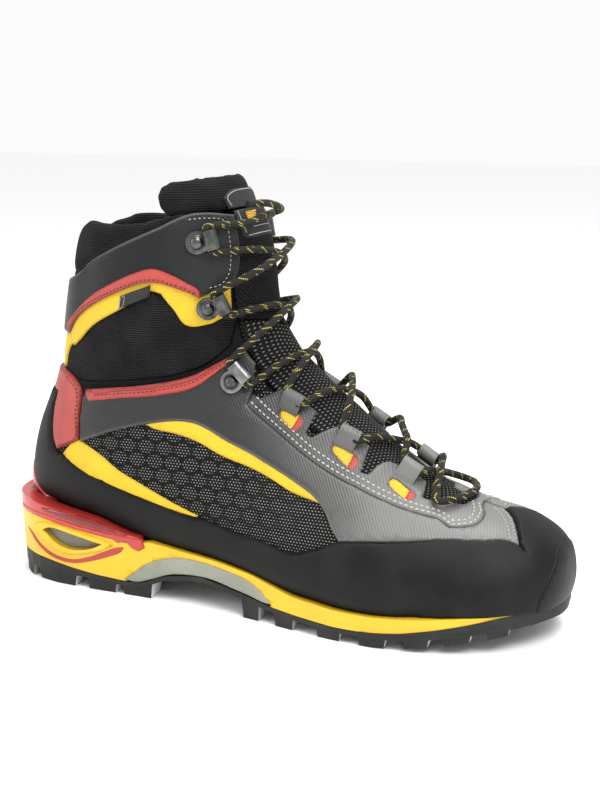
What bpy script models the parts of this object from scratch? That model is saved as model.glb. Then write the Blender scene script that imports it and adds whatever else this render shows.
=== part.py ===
"""Mountaineering boot (right foot), modelled as an assembly of separate pieces.

Frame: +X towards the toe, +Y towards the medial side, +Z up, ground at Z = 0.
Lengths below are millimetres; MM turns them into Blender's metres.
"""
import math
from collections import namedtuple

import bmesh
import bpy
import numpy as np
from mathutils import Matrix, Vector

MM = 0.001

# ---------------------------------------------------------------- driving dimensions
GAP = 0.45                   # clearance between neighbouring pieces
SEAM = 0.3                   # how far a panel's outline is drawn in on each side of a seam
COLUMNS = 24                 # facets round the upper
LINING_IN, LINING_OUT = -6.0, -2.6
SHELL_IN, SHELL_OUT = -2.0, 0.0
UNDERLAY_IN, UNDERLAY_OUT = 0.45, 1.05
OVERLAY_IN, OVERLAY_OUT = 1.5, 2.5
RUBBER_IN, RUBBER_OUT = 1.5, 3.5
TRIM_IN, TRIM_OUT = 2.95, 3.6
TONGUE_IN, TONGUE_OUT = -2.0, 1.0
TONGUE_TOP_IN, TONGUE_TOP_OUT = -6.4, -2.5
LACE_RADIUS = 1.9
WELD = 1e-7                  # metres
RIVET_RADIUS = 4.0
HOOK_WIDTH = 8.0
LUG_DRAFT = 0.86             # how much narrower a lug is at the ground than at its root
ANKLE_PIVOT = (-70.0, 0.0, 115.0)
TONGUE_PIVOT = (-22.0, 0.0, 203.0)
ORIGIN_SHIFT = Vector((0.75, 0.1, 0.0))    # puts the origin under the middle of the boot

# ---------------------------------------------------------------- the shape of the upper
# A section runs from a point on the front or top line to a point on the back or bottom line,
# both (x, z). The rest: half width outside and inside, y of its two ends, where the section is
# widest (0 at the front end, 1 at the back end), and how square each of its ends is.
Section = namedtuple("Section", "front back wide_out wide_in y_front y_back widest p q")
SECTIONS = [
    Section((149.5, 20.5), (97, 16.2), 44, 43, 5, 1, 0.93, 2.3, 6),
    Section((150.8, 26), (96, 16), 44, 43, 5, 1, 0.93, 2.3, 6),
    Section((151, 33), (95, 15.8), 44, 43, 5, 1, 0.92, 2.3, 6),
    Section((149, 42), (94, 15.6), 44.4, 43.4, 5, 1, 0.91, 2.3, 6),
    Section((144, 48.2), (93, 15.5), 44.4, 43.4, 5, 1, 0.90, 2.3, 6),
    Section((136.5, 53), (92, 15.4), 44.4, 43.4, 5, 1, 0.89, 2.25, 5.5),
    Section((126, 58), (89.5, 15.2), 44.4, 43.4, 5, 1, 0.87, 2.2, 5),
    Section((112, 61), (85.5, 15), 45.4, 43.4, 5, 1, 0.84, 2.1, 4.5),
    Section((98, 65), (80, 14.7), 46.9, 43.4, 5, 0, 0.82, 2, 4.2),
    Section((82, 71.5), (72, 14.3), 48.4, 43.4, 5, 0, 0.80, 1.9, 4),
    Section((66, 81.5), (58, 14), 48.9, 42.4, 5, -1, 0.77, 1.8, 3.8),
    Section((52, 93), (40, 14), 46.9, 40.4, 5, -1, 0.75, 1.75, 3.6),
    Section((38, 105), (18, 15.8), 43.9, 38.4, 5, -1, 0.75, 1.75, 3.4),
    Section((26, 115), (-6, 19.6), 40.8, 37.3, 4, 0, 0.74, 1.75, 3.2),
    Section((16, 124), (-35, 22.8), 38.3, 36.3, 4, 1, 0.72, 1.75, 3),
    Section((8, 132), (-70, 23), 36.3, 35.3, 3, 1, 0.69, 1.75, 2.7),
    Section((3, 139.5), (-105, 24.5), 35.3, 34.8, 3, 1, 0.65, 1.78, 2.4),
    Section((0, 146), (-133, 27), 34.8, 34.8, 2, 1, 0.61, 1.8, 2.2),
    Section((-3, 152), (-147, 40), 34.8, 34.8, 2, 1, 0.57, 1.85, 2.1),
    Section((-5, 158), (-148, 60), 34.8, 34.8, 2, 1, 0.54, 1.9, 2.05),
    Section((-6, 164), (-143.5, 80), 34.8, 34.8, 2, 1, 0.52, 1.95, 2),
    Section((-7, 170), (-136, 97), 35.9, 36.4, 2, 1, 0.51, 2, 2),
    Section((-8, 176), (-130, 112), 36.4, 37.4, 2, 1, 0.5, 2, 2),
    Section((-9, 183), (-127, 130), 36.9, 37.4, 2, 1, 0.5, 2, 2),
    Section((-11, 191), (-123.5, 150), 36.9, 36.9, 2, 1, 0.5, 2.05, 2.05),
    Section((-14, 199), (-119, 170), 37.4, 37.4, 2, 1, 0.5, 2.1, 2.1),
    Section((-18, 208), (-113, 192), 38.4, 38.4, 2, 1, 0.5, 2.1, 2.1),
    Section((-21.5, 216), (-109.5, 205), 38.6, 38.6, 2, 1, 0.5, 2.1, 2.1),
    Section((-26, 225), (-106, 215), 38.6, 38.6, 2, 1, 0.5, 2.1, 2.1),
]
LAST = len(SECTIONS) - 1
HEEL_SECTION = 17            # the first section whose lower end is on the heel's back line

# ---------------------------------------------------------------- the shape of the sole
# Outline of the sole seen from above, a closed smooth curve through these points.
SOLE_OUTLINE = [
    (-156, 0), (-150, -20), (-132, -33), (-105, -36), (-75, -36), (-40, -37), (-5, -41),
    (30, -48), (60, -52), (90, -51), (118, -43), (138, -29), (150, -10), (153, 6), (149, 24),
    (137, 38), (115, 48), (88, 52), (60, 50.5), (30, 45), (0, 39), (-40, 35), (-75, 35),
    (-105, 35), (-132, 32), (-150, 19)]
# Heights along the sole, (x, z): where the rubber outsole meets the midsole, the midsole's top
# edge, the red heel ledge's top, the floor under the foot, and the ground line of the lugs.
OUTSOLE_TOP = [(-160, 15.5), (-141, 15), (-127, 14), (-109, 11), (-92, 9), (-77, 8), (-70, 8),
               (-62, 10), (-54, 14), (-45, 16), (-31, 17.6), (-25, 17), (-5, 13.5), (14, 10),
               (31, 8.6), (50, 7.5), (71, 7.8), (87, 9), (102, 11), (117, 13.3), (130, 15.3),
               (147, 16.4), (160, 16.6)]
MIDSOLE_TOP = [(-160, 38.6), (-137, 38.6), (-126, 37.6), (-108, 34.6), (-91, 32.6), (-83, 31.4),
               (-72, 29.5), (-61, 32), (-42, 29.4), (-20, 27.4), (1, 24.4), (26, 18), (50, 16),
               (71, 15.8), (95, 17.4), (116, 19.4), (136, 20), (160, 20.2)]
LEDGE_TOP = [(-160, 47), (-137, 47), (-126, 45), (-107, 43), (-93, 41), (-84, 38), (-74, 35),
             (-62, 33)]
FLOOR = [(-160, 27), (-135, 26), (-105, 24.5), (-70, 23), (-35, 22.8), (-6, 19.6), (18, 15.8),
         (40, 14), (66, 14), (92, 15.3), (106, 17), (120, 19), (135, 20.3), (160, 20.5)]
GROUND = [(-160, 0.8), (-150, 0), (70, 0), (94, 2.6), (112, 5.6), (132, 9), (149, 12), (160, 14)]
LEDGE_FRONT = -66.5          # where the red heel ledge ends on each side
HEEL_FLARE = 4.2             # how far the top of the heel stands out past the outline below it


# ---------------------------------------------------------------- small helpers
def table(points, x):
    """Height read off a line of (x, z) points."""
    xs, zs = zip(*points)
    return float(np.interp(x, xs, zs))


def smoothstep(x, low, high):
    t = min(max((x - low) / (high - low), 0.0), 1.0)
    return t * t * (3 - 2 * t)


def closed_curve(points, per_span=4):
    """Points on a closed Catmull-Rom curve."""
    out, n = [], len(points)
    pts = [np.array(p, float) for p in points]
    for i in range(n):
        a, b, c, d = (pts[(i + k - 1) % n] for k in range(4))
        for f in np.arange(per_span) / per_span:
            out.append(0.5 * (2 * b + (c - a) * f + (2 * a - 5 * b + 4 * c - d) * f * f
                              + (3 * b - a - 3 * c + d) * f ** 3))
    return out


def inset(outline, distance):
    """Closed 2-D outline moved inwards by a distance (outwards if negative)."""
    pts = [np.array(p, float) for p in outline]
    area = sum(a[0] * b[1] - a[1] * b[0] for a, b in zip(pts, pts[1:] + pts[:1]))
    turn = 1.0 if area > 0 else -1.0
    out = []
    for i, here in enumerate(pts):
        before, after = here - pts[i - 1], pts[(i + 1) % len(pts)] - here
        n1 = np.array([-before[1], before[0]]) / np.hypot(*before)
        n2 = np.array([-after[1], after[0]]) / np.hypot(*after)
        mitre = n1 + n2
        scale = distance / max(0.35, 1 + float(n1 @ n2))
        out.append(tuple(here + turn * mitre * scale))
    return out


def remove_everything():
    for obj in list(bpy.data.objects):
        bpy.data.objects.remove(obj, do_unlink=True)


def make_material(name, colour, roughness, metallic):
    mat = bpy.data.materials.new(name)
    mat.use_nodes = True
    shader = mat.node_tree.nodes["Principled BSDF"]
    shader.inputs["Base Color"].default_value = (*colour, 1.0)
    shader.inputs["Roughness"].default_value = roughness
    shader.inputs["Metallic"].default_value = metallic
    mat.diffuse_color = (*colour, 1.0)
    return mat


FINISHES = {
    "black_textile": ((0.012, 0.012, 0.013), 0.9, 0.0),
    "dotted_mesh": ((0.03, 0.03, 0.032), 0.85, 0.0),
    "grey_overlay": ((0.10, 0.10, 0.10), 0.5, 0.0),
    "yellow_panel": ((0.80, 0.50, 0.01), 0.55, 0.0),
    "red_trim": ((0.60, 0.08, 0.06), 0.5, 0.0),
    "black_rubber": ((0.018, 0.018, 0.018), 0.65, 0.0),
    "yellow_foam": ((0.72, 0.43, 0.02), 0.6, 0.0),
    "arch_grey": ((0.22, 0.23, 0.19), 0.8, 0.0),
    "gunmetal": ((0.12, 0.12, 0.12), 0.35, 0.9),
    "bright_metal": ((0.45, 0.45, 0.45), 0.3, 1.0),
    "lace_black": ((0.015, 0.015, 0.013), 0.8, 0.0),
    "lining_grey": ((0.05, 0.05, 0.055), 0.95, 0.0),
    "board_fibre": ((0.35, 0.28, 0.18), 0.9, 0.0),
}


def finished(name, bm, finish, origin=None, parent=None):
    """Turn a bmesh in world millimetres into a named object whose origin is at a point."""
    bmesh.ops.translate(bm, verts=bm.verts, vec=ORIGIN_SHIFT)
    bmesh.ops.transform(bm, matrix=Matrix.Scale(MM, 4), verts=bm.verts)
    bmesh.ops.remove_doubles(bm, verts=bm.verts, dist=WELD)
    bmesh.ops.recalc_face_normals(bm, faces=bm.faces)
    place = (Vector(origin) + ORIGIN_SHIFT) * MM if origin else Vector()
    bmesh.ops.translate(bm, verts=bm.verts, vec=-place)
    mesh = bpy.data.meshes.new(name)
    bm.to_mesh(mesh)
    bm.free()
    obj = bpy.data.objects.new(name, mesh)
    bpy.context.scene.collection.objects.link(obj)
    obj.location = place
    if finish:
        mesh.materials.append(MATERIALS[finish])
        mesh.shade_smooth()
        mesh.set_sharp_from_angle(angle=math.radians(35))
    if parent:
        obj.parent = parent
        obj.matrix_parent_inverse = parent.matrix_basis.inverted()
    return obj


def cutter(name, bm):
    """A body for a Boolean, left out of the finished part."""
    obj = finished(name, bm, None)
    obj.hide_render = True
    obj.display_type = "WIRE"
    return obj


def boolean(obj, other, operation):
    mod = obj.modifiers.new(other.name, "BOOLEAN")
    mod.operation = operation
    mod.solver = "EXACT"
    mod.object = other


# ---------------------------------------------------------------- the surface of the upper
class UpperSurface:
    """The outer skin of the textile upper, with s along the boot and phi round it.

    s counts the sections. phi is 0 on the front and top line, negative on the outside,
    positive on the inside, and pi on the back and bottom line.
    """

    def __init__(self):
        self.angles = np.linspace(-math.pi, math.pi, COLUMNS + 1)
        self.grid = np.array([[self.section_point(sec, a) for a in self.angles]
                              for sec in SECTIONS])
        along = np.gradient(self.grid, axis=0)
        ring = np.concatenate([self.grid[:, -2:-1], self.grid, self.grid[:, 1:2]], axis=1)
        across = ring[:, 2:] - ring[:, :-2]
        normal = np.cross(across, along)
        length = np.linalg.norm(normal, axis=2, keepdims=True)
        normal = normal / np.maximum(length, 1e-9)
        outward = self.grid - self.grid[:, :-1].mean(axis=1, keepdims=True)
        flip = np.sign((normal * outward).sum(axis=2, keepdims=True))
        self.normal = normal * np.where(flip == 0, 1, flip)
        self.mitre_first_section()

    def mitre_first_section(self):
        """At the toe's bottom edge an offset moves out and down by the same amount."""
        for j in range(COLUMNS + 1):
            side = self.normal[0, j].copy()
            side[2] = 0.0
            size = np.hypot(side[0], side[1])
            side = side / size if size > 0.3 else side * 0.0
            self.normal[0, j] = (side[0], side[1], -1.0)

    @staticmethod
    def section_point(sec, angle):
        """A point of a section: a superellipse whose two ends have their own squareness."""
        c, sn = abs(math.cos(angle)), abs(math.sin(angle))
        front = abs(angle) <= math.pi / 2 + 1e-9
        power = 2 / (sec.p if front else sec.q)
        m = sec.widest
        t = m * (1 - c ** power) if front else m + (1 - m) * c ** power
        half = sn ** power * (sec.wide_out if angle < 0 else sec.wide_in)
        x = sec.front[0] + (sec.back[0] - sec.front[0]) * t
        z = sec.front[1] + (sec.back[1] - sec.front[1]) * t
        y = sec.y_front + (sec.y_back - sec.y_front) * t + math.copysign(half, angle)
        return x, y, z

    def _mix(self, array, s, phi):
        s = min(max(s, 0.0), LAST)
        i = min(int(s), LAST - 1)
        f = s - i
        step = 2 * math.pi / COLUMNS
        u = ((phi + math.pi) % (2 * math.pi)) / step
        j = min(int(u), COLUMNS - 1)
        g = u - j
        low = array[i, j] * (1 - g) + array[i, j + 1] * g
        high = array[i + 1, j] * (1 - g) + array[i + 1, j + 1] * g
        return low * (1 - f) + high * f

    def at(self, s, phi, height=0.0):
        """World point at a height above the skin, in millimetres."""
        return Vector(self._mix(self.grid, s, phi) + height * self._mix(self.normal, s, phi))

    def frame(self, s, phi, height=0.0):
        """Matrix at a point of the skin: X along the boot's front line, Y across, Z outwards."""
        out = Vector(self._mix(self.normal, s, phi)).normalized()
        along = self.at(s + 0.2, phi) - self.at(s - 0.2, phi)
        along = (along - out * along.dot(out)).normalized()
        across = out.cross(along)
        place = Matrix((along, across, out)).transposed().to_4x4()
        place.translation = self.at(s, phi, height)
        return place

    @staticmethod
    def locate(x, z):
        """(s, |phi|) of a point seen from the side."""
        def ends(s):
            i = min(int(s), LAST - 1)
            f = s - i
            a, b = SECTIONS[i], SECTIONS[i + 1]
            mix = lambda p, q: (p[0] * (1 - f) + q[0] * f, p[1] * (1 - f) + q[1] * f)
            return mix(a.front, b.front), mix(a.back, b.back), a, b, f

        def above(s):
            (tx, tz), (bx, bz), *_ = ends(s)
            return (x - bx) * (tz - bz) - (z - bz) * (tx - bx)

        low, high = 0.0, float(LAST)
        for _ in range(48):
            mid = (low + high) / 2
            if above(mid) > 0:
                high = mid
            else:
                low = mid
        (tx, tz), (bx, bz), a, b, f = ends(low)
        span = (bx - tx) ** 2 + (bz - tz) ** 2
        t = ((x - tx) * (bx - tx) + (z - tz) * (bz - tz)) / span
        t = min(max(t, 0.0), 1.0)
        m = a.widest * (1 - f) + b.widest * f
        p = a.p * (1 - f) + b.p * f
        q = a.q * (1 - f) + b.q * f
        if t < m:
            phi = math.acos(min(1.0, (1 - t / m) ** (p / 2)))
        else:
            phi = math.pi - math.acos(min(1.0, ((t - m) / (1 - m)) ** (q / 2)))
        return low, phi


SKIN = None
MATERIALS = {}


def front_line(z):
    """s on the front and top line at a height."""
    return float(np.interp(z, [sec.front[1] for sec in SECTIONS], range(LAST + 1)))


def back_line(z):
    """s on the heel's back line at a height."""
    values = [sec.back[1] for sec in SECTIONS[HEEL_SECTION:]]
    return float(np.interp(z, values, range(HEEL_SECTION, LAST + 1)))


# ---------------------------------------------------------------- panels on the upper
def side_points(points, side):
    """(x, z) points on one side, as (s, phi) points. side is -1 outside, +1 inside."""
    return [(s, side * phi) for s, phi in (SKIN.locate(x, z) for x, z in points)]


def across_front(half):
    """Outline that crosses the front line, from its (s, phi) outside half."""
    return half + [(s, -phi) for s, phi in reversed(half) if abs(phi) > 1e-6]


def across_back(half):
    """Outline that crosses the back line, from its (s, phi) inside half with phi up to pi."""
    on_line = [i for i, (_, phi) in enumerate(half) if abs(phi) > math.pi - 1e-6]
    half = half[on_line[-1]:] + half[:on_line[0] + 1]
    inside = [(s, abs(phi)) for s, phi in half]
    mirror = [(s, 2 * math.pi - phi) for s, phi in reversed(inside) if phi < math.pi - 1e-6]
    return inside + mirror


def grid_sheet(outline):
    """Flat sheet in (s, phi), cut along the upper's own grid so that every layer lies parallel."""
    bm = bmesh.new()
    bm.faces.new([bm.verts.new((s, phi, 0.0)) for s, phi in outline])
    lows = [min(p[k] for p in outline) for k in (0, 1)]
    highs = [max(p[k] for p in outline) for k in (0, 1)]
    step = 2 * math.pi / COLUMNS
    cuts = [((i, 0, 0), (1, 0, 0)) for i in range(math.ceil(lows[0]), math.floor(highs[0]) + 1)]
    first, last = math.ceil(lows[1] / step), math.floor(highs[1] / step)
    cuts += [((0, j * step, 0), (0, 1, 0)) for j in range(first, last + 1)]
    for place, direction in cuts:
        bmesh.ops.bisect_plane(bm, geom=bm.verts[:] + bm.edges[:] + bm.faces[:], dist=1e-6,
                               plane_co=place, plane_no=direction)
    return bm


def thicken(bm, low, high, closed_round=False, rest=None):
    """Give a grid sheet its thickness, and lay it on the upper.

    rest is a line along the sole, as height of x, that the piece stands on.
    """
    made = bmesh.ops.extrude_face_region(bm, geom=bm.faces[:], use_keep_orig=True)
    top = [v for v in made["geom"] if isinstance(v, bmesh.types.BMVert)]
    bmesh.ops.translate(bm, verts=top, vec=(0, 0, 1))
    if closed_round:
        seam = [f for f in bm.faces if all(abs(abs(v.co.y) - math.pi) < 1e-5 for v in f.verts)]
        bmesh.ops.delete(bm, geom=seam, context="FACES")
    for v in bm.verts:
        s, phi, level = v.co
        v.co = SKIN.at(s, phi, high if level > 0.5 else low)
        if rest:
            v.co.z = max(v.co.z, rest(v.co.x) + GAP)
    bmesh.ops.remove_doubles(bm, verts=bm.verts, dist=1e-4)
    bmesh.ops.triangulate(bm, faces=bm.faces)
    return bm


def panel(name, outline, layer, finish, seam=SEAM, rest=None, **place):
    """A sewn or bonded panel: an (s, phi) outline, drawn in for its seam, on a layer."""
    low, high = layer
    bm = thicken(grid_sheet(seam_inset(outline, seam)), low, high, rest=rest)
    return finished(name, bm, finish, **place)


def seam_inset(outline, seam):
    """Draw an (s, phi) outline in by a distance measured on the skin."""
    if not seam:
        return outline
    s_mid = sum(s for s, _ in outline) / len(outline)
    phi_mid = sum(phi for _, phi in outline) / len(outline)
    per_s = max((SKIN.at(s_mid + 0.5, phi_mid) - SKIN.at(s_mid - 0.5, phi_mid)).length, 3.0)
    per_phi = 40.0
    flat = inset([(s * per_s, phi * per_phi) for s, phi in outline], seam)
    return [(s / per_s, phi / per_phi) for s, phi in flat]


def sock(name, half, layer, finish):
    """A piece that goes all the way round, from the (s, phi) outline of its inside half."""
    bm = bmesh.new()
    for side in (-1, 1):
        sheet = grid_sheet([(s, side * abs(phi)) for s, phi in half])
        mesh = bpy.data.meshes.new("half")
        sheet.to_mesh(mesh)
        bm.from_mesh(mesh)
        sheet.free()
        bpy.data.meshes.remove(mesh)
    bmesh.ops.remove_doubles(bm, verts=bm.verts, dist=1e-5)
    bmesh.ops.recalc_face_normals(bm, faces=bm.faces)
    return finished(name, thicken(bm, *layer, closed_round=True), finish)


def foot_edge(lift):
    """(s, phi) line round the foot just above its floor, from the toe to the heel's back."""
    line = [(x, table(FLOOR, x) + lift) for x in FOOT_STATIONS]
    side = side_points(line, 1)
    return [(0.1, FRONT), (0.1, 0.35), (0.1, 0.7)] + side + [(17.5, BACK - 0.35), (17.6, BACK)]


# ---------------------------------------------------------------- the sole
SOLE_LOOP = closed_curve(SOLE_OUTLINE, 3)
SOLE_STATIONS = [-150, -142, -132, -120, -105, -90, -77, -66, -54, -42, -31, -18, -5, 10, 22,
                 36, 50, 64, 78, 92, 106, 120, 132, 141, 148]
PLATE_THICKNESS = 3.0
BOARD_LOW, BOARD_HIGH = -2.1, -0.5         # the insole board, from the floor line
FOOTBED_LOW, FOOTBED_HIGH = 1.2, 6.2       # the footbed, from the floor line
CUT_PAST = 4.0                             # how far a pocket's cutter runs past the wall
CAVITY_TOP = 70.0                          # the foot's cavity is cut from the board up to here
INSERT_DEPTH, WINDOW_RECESS, ARCH_PROUD = 5.0, 1.6, 0.2
HEEL_PLATE_BOTTOM = 6.5
LUG_WIDTH, REAR_LUG_WIDTH = 15.0, 10.0
LUG_ROOT = 1.2                             # how far a lug is let into the plate above it
FOOT_STATIONS = [130, 116, 104, 88, 70, 50, 30, 10, -10, -35, -60, -85, -105, -122]
LUG_SPANS = [(-150, -139), (-135, -107), (-101, -82), (-79, -60), (-5, 6), (15, 27), (40, 54),
             (63, 78), (86, 99), (105, 118), (124, 134)]
# Middle lugs as (x, y, length, width).
MIDDLE_LUGS = [(-147, 0, 12, 11), (-118, 0, 15, 14), (-92, 0, 12, 14), (-70, 0, 12, 16),
               (34, -9, 12, 13), (34, 9, 12, 13), (57, -10, 12, 14), (57, 10, 12, 14),
               (81, -10, 12, 15), (81, 10, 12, 15), (103, -8, 11, 14), (103, 12, 11, 14),
               (124, 4, 10, 22)]
TOE_LUG = [(138, -22), (145, -15), (150, -4), (151, 8), (149, 19), (142, 29), (138, 20), (139, 2)]


def heel_flare(x, z):
    """Factor on y: the heel widens towards its top."""
    low, high = 8.0, 38.0
    rise = min(max((z - low) / (high - low), 0.0), 1.0)
    return 1 + HEEL_FLARE / 36 * rise * smoothstep(-x, 40, 95)


def wall_y(x, z, side):
    """y of the sole's outer wall at a height, on the outside (-1) or the inside (+1)."""
    loop = [p for p in SOLE_LOOP if p[1] * side > 0]
    loop.sort(key=lambda p: p[0])
    return float(np.interp(x, [p[0] for p in loop], [p[1] for p in loop])) * heel_flare(x, z)


def sole_block(outline, bottom, top, levels=2, flare=True):
    """Solid between two heights given as functions of x, over an (x, y) outline."""
    bm = bmesh.new()
    bm.faces.new([bm.verts.new((p[0], p[1], 0.0)) for p in outline])
    for x in SOLE_STATIONS:
        bmesh.ops.bisect_plane(bm, geom=bm.verts[:] + bm.edges[:] + bm.faces[:], dist=1e-5,
                               plane_co=(x, 0, 0), plane_no=(1, 0, 0))
    cap = bm.faces[:]
    for level in range(levels):
        made = bmesh.ops.extrude_face_region(bm, geom=cap, use_keep_orig=True)
        if level:
            bmesh.ops.delete(bm, geom=cap, context="FACES_ONLY")
        moved = [v for v in made["geom"] if isinstance(v, bmesh.types.BMVert)]
        cap = [f for f in made["geom"] if isinstance(f, bmesh.types.BMFace)]
        bmesh.ops.translate(bm, verts=moved, vec=(0, 0, 1))
    for v in bm.verts:
        part = v.co.z / levels
        z = bottom(v.co.x) * (1 - part) + top(v.co.x) * part
        v.co = (v.co.x, v.co.y * (heel_flare(v.co.x, z) if flare else 1), z)
    bmesh.ops.triangulate(bm, faces=bm.faces)
    bmesh.ops.recalc_face_normals(bm, faces=bm.faces)
    return bm


def side_block(outline, side, inner, outer):
    """Solid let into the sole's side wall: an (x, z) outline between two depths from the wall."""
    bm = bmesh.new()
    bm.faces.new([bm.verts.new((x, 0.0, z)) for x, z in outline])
    for x in SOLE_STATIONS:
        bmesh.ops.bisect_plane(bm, geom=bm.verts[:] + bm.edges[:] + bm.faces[:], dist=1e-5,
                               plane_co=(x, 0, 0), plane_no=(1, 0, 0))
    made = bmesh.ops.extrude_face_region(bm, geom=bm.faces[:], use_keep_orig=True)
    moved = [v for v in made["geom"] if isinstance(v, bmesh.types.BMVert)]
    bmesh.ops.translate(bm, verts=moved, vec=(0, 1, 0))
    for v in bm.verts:
        depth = outer if v.co.y > 0.5 else inner
        v.co.y = wall_y(v.co.x, v.co.z, side) + side * depth
    bmesh.ops.triangulate(bm, faces=bm.faces)
    bmesh.ops.recalc_face_normals(bm, faces=bm.faces)
    return bm


def rest_line(x):
    """Top of the sole's rim: the red ledge round the heel, the midsole in front of it."""
    return table(LEDGE_TOP, x) if x < LEDGE_FRONT + 1.5 else table(MIDSOLE_TOP, x)


def foot_plan(grow, ends=(-148.4, 150.0), flat=None):
    """Outline of the upper seen from above, grown by a distance.

    It is the widest outline inside the sole's rim, or the one at a height above the floor.
    """
    def half_width(x, side):
        floor = table(FLOOR, x)
        heights = [floor + flat] if flat else np.linspace(floor + 3, rest_line(x) + 2, 5)
        spots = [SKIN.locate(x, z) for z in heights]
        return max(abs(SKIN.at(s, side * phi).y) for s, phi in spots)

    stations = [-143, -136, -126, -112, -95, -78, -60, -40, -20, 0, 20, 40, 60, 80, 98, 112,
                124, 133, 140, 145]
    heel, toe = ends
    stations = [x for x in stations if heel + 5 <= x <= toe - 4]
    outside = [(x, -half_width(x, -1)) for x in stations]
    inside = [(x, half_width(x, 1)) for x in reversed(stations)]
    front = [(toe - 1, -4), (toe, 5), (toe - 1, 15)]
    back = [(heel + 0.8, 10), (heel, 1), (heel + 0.8, -8)]
    return inset(outside + front + inside + back, -grow)


ARCH_TOP = [(-77, 9), (-70, 14), (-62, 20), (-53, 23.6), (-43, 25.6), (-30, 25.6), (-15, 23.8),
            (0, 20.6), (8, 16), (14, 11.2)]
WINDOW = [(-126, 31), (-121.5, 33.2), (-106, 31.4), (-88, 28), (-96, 24), (-108, 22), (-117, 24)]


def build_sole():
    cavity = cutter("cut_cavity", sole_block(
        foot_plan(0.5), lambda x: table(FLOOR, x) + BOARD_LOW - 0.5, lambda x: CAVITY_TOP,
        levels=1, flare=False))
    midsole = finished("midsole", sole_block(
        SOLE_LOOP, lambda x: table(OUTSOLE_TOP, x), lambda x: table(MIDSOLE_TOP, x)),
        "yellow_foam")
    boolean(midsole, cavity, "DIFFERENCE")
    finished("insole_board", sole_block(
        foot_plan(-3.0), lambda x: table(FLOOR, x) + BOARD_LOW,
        lambda x: table(FLOOR, x) + BOARD_HIGH, levels=1, flare=False), "board_fibre")

    for side, word in ((-1, "lateral"), (1, "medial")):
        low = [(x, table(OUTSOLE_TOP, x) + GAP) for x in (10, 0, -10, -25, -40, -50, -60, -70)]
        arch = ARCH_TOP + low
        finished(f"arch_insert_{word}", side_block(arch, side, -INSERT_DEPTH, ARCH_PROUD),
                 "arch_grey")
        pocket = ARCH_TOP + [(x, z - 4) for x, z in low]
        boolean(midsole, cutter(f"cut_arch_{word}", side_block(
            inset(pocket, -GAP), side, -INSERT_DEPTH - GAP, CUT_PAST)), "DIFFERENCE")
        finished(f"window_insert_{word}", side_block(WINDOW, side, -INSERT_DEPTH, -WINDOW_RECESS),
                 "arch_grey")
        boolean(midsole, cutter(f"cut_window_{word}", side_block(
            inset(WINDOW, -GAP), side, -INSERT_DEPTH - GAP, CUT_PAST)), "DIFFERENCE")

    ledge_loop = [p for p in SOLE_LOOP if p[0] < LEDGE_FRONT - 2]
    ledge_loop += [(LEDGE_FRONT, -36.0), (LEDGE_FRONT, 35.0)]
    ledge_loop.sort(key=lambda p: math.atan2(p[1], -(p[0] + 100)))
    ledge = finished("heel_ledge", sole_block(
        ledge_loop, lambda x: table(MIDSOLE_TOP, x) + GAP, lambda x: table(LEDGE_TOP, x),
        levels=1), "red_trim")
    boolean(ledge, cavity, "DIFFERENCE")
    build_outsole()
    build_footbed()


def plate_bottom(x):
    low = table(OUTSOLE_TOP, x) - PLATE_THICKNESS
    return min(low, HEEL_PLATE_BOTTOM) if x < -90 else low


def drafted_lug(outline):
    """A lug: an (x, y) outline under the plate, a little narrower at the ground."""
    cx = sum(p[0] for p in outline) / len(outline)
    cy = sum(p[1] for p in outline) / len(outline)
    bm = bmesh.new()
    bm.faces.new([bm.verts.new((p[0], p[1], 0.0)) for p in outline])
    made = bmesh.ops.extrude_face_region(bm, geom=bm.faces[:], use_keep_orig=True)
    moved = [v for v in made["geom"] if isinstance(v, bmesh.types.BMVert)]
    bmesh.ops.translate(bm, verts=moved, vec=(0, 0, 1))
    for v in bm.verts:
        x, y = v.co.x, v.co.y
        if v.co.z > 0.5:
            v.co.z = plate_bottom(x) + LUG_ROOT
        else:
            v.co.z = table(GROUND, x)
            v.co.x = cx + (x - cx) * LUG_DRAFT
            v.co.y = cy + (y - cy) * LUG_DRAFT
    bmesh.ops.triangulate(bm, faces=bm.faces)
    bmesh.ops.recalc_face_normals(bm, faces=bm.faces)
    return bm


def build_outsole():
    outsole = finished("outsole", sole_block(
        inset(SOLE_LOOP, 0.2), plate_bottom, lambda x: table(OUTSOLE_TOP, x) - GAP, levels=1),
        "black_rubber")
    outlines = [TOE_LUG]
    for low, high in LUG_SPANS:
        for side in (-1, 1):
            middle = (low + high) / 2
            outer = [(x, wall_y(x, 0, side) - side * 0.6) for x in (low, middle, high)]
            width = LUG_WIDTH if low > -140 else REAR_LUG_WIDTH
            inner = [(x, wall_y(x, 0, side) - side * width) for x in (high - 2, low + 2)]
            outlines.append(outer + inner)
    for x, y, length, width in MIDDLE_LUGS:
        a, b = length / 2, width / 2
        outlines.append([(x - a, y - b), (x + a, y - b * 0.7), (x + a, y + b * 0.7), (x - a, y + b)])
    lugs = bmesh.new()
    for outline in outlines:
        lug = drafted_lug(outline)
        mesh = bpy.data.meshes.new("lug")
        lug.to_mesh(mesh)
        lugs.from_mesh(mesh)
        lug.free()
        bpy.data.meshes.remove(mesh)
    boolean(outsole, cutter("lug_blanks", lugs), "UNION")


def build_footbed():
    """A moulded footbed that lies inside the lining."""
    finished("footbed", sole_block(
        foot_plan(-6.0, ends=(-128, 141), flat=1.0), lambda x: table(FLOOR, x) + FOOTBED_LOW,
        lambda x: table(FLOOR, x) + FOOTBED_HIGH, levels=1, flare=False), "lining_grey")


# ---------------------------------------------------------------- the upper's panels
BACK, FRONT = math.pi, 0.0
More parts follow.
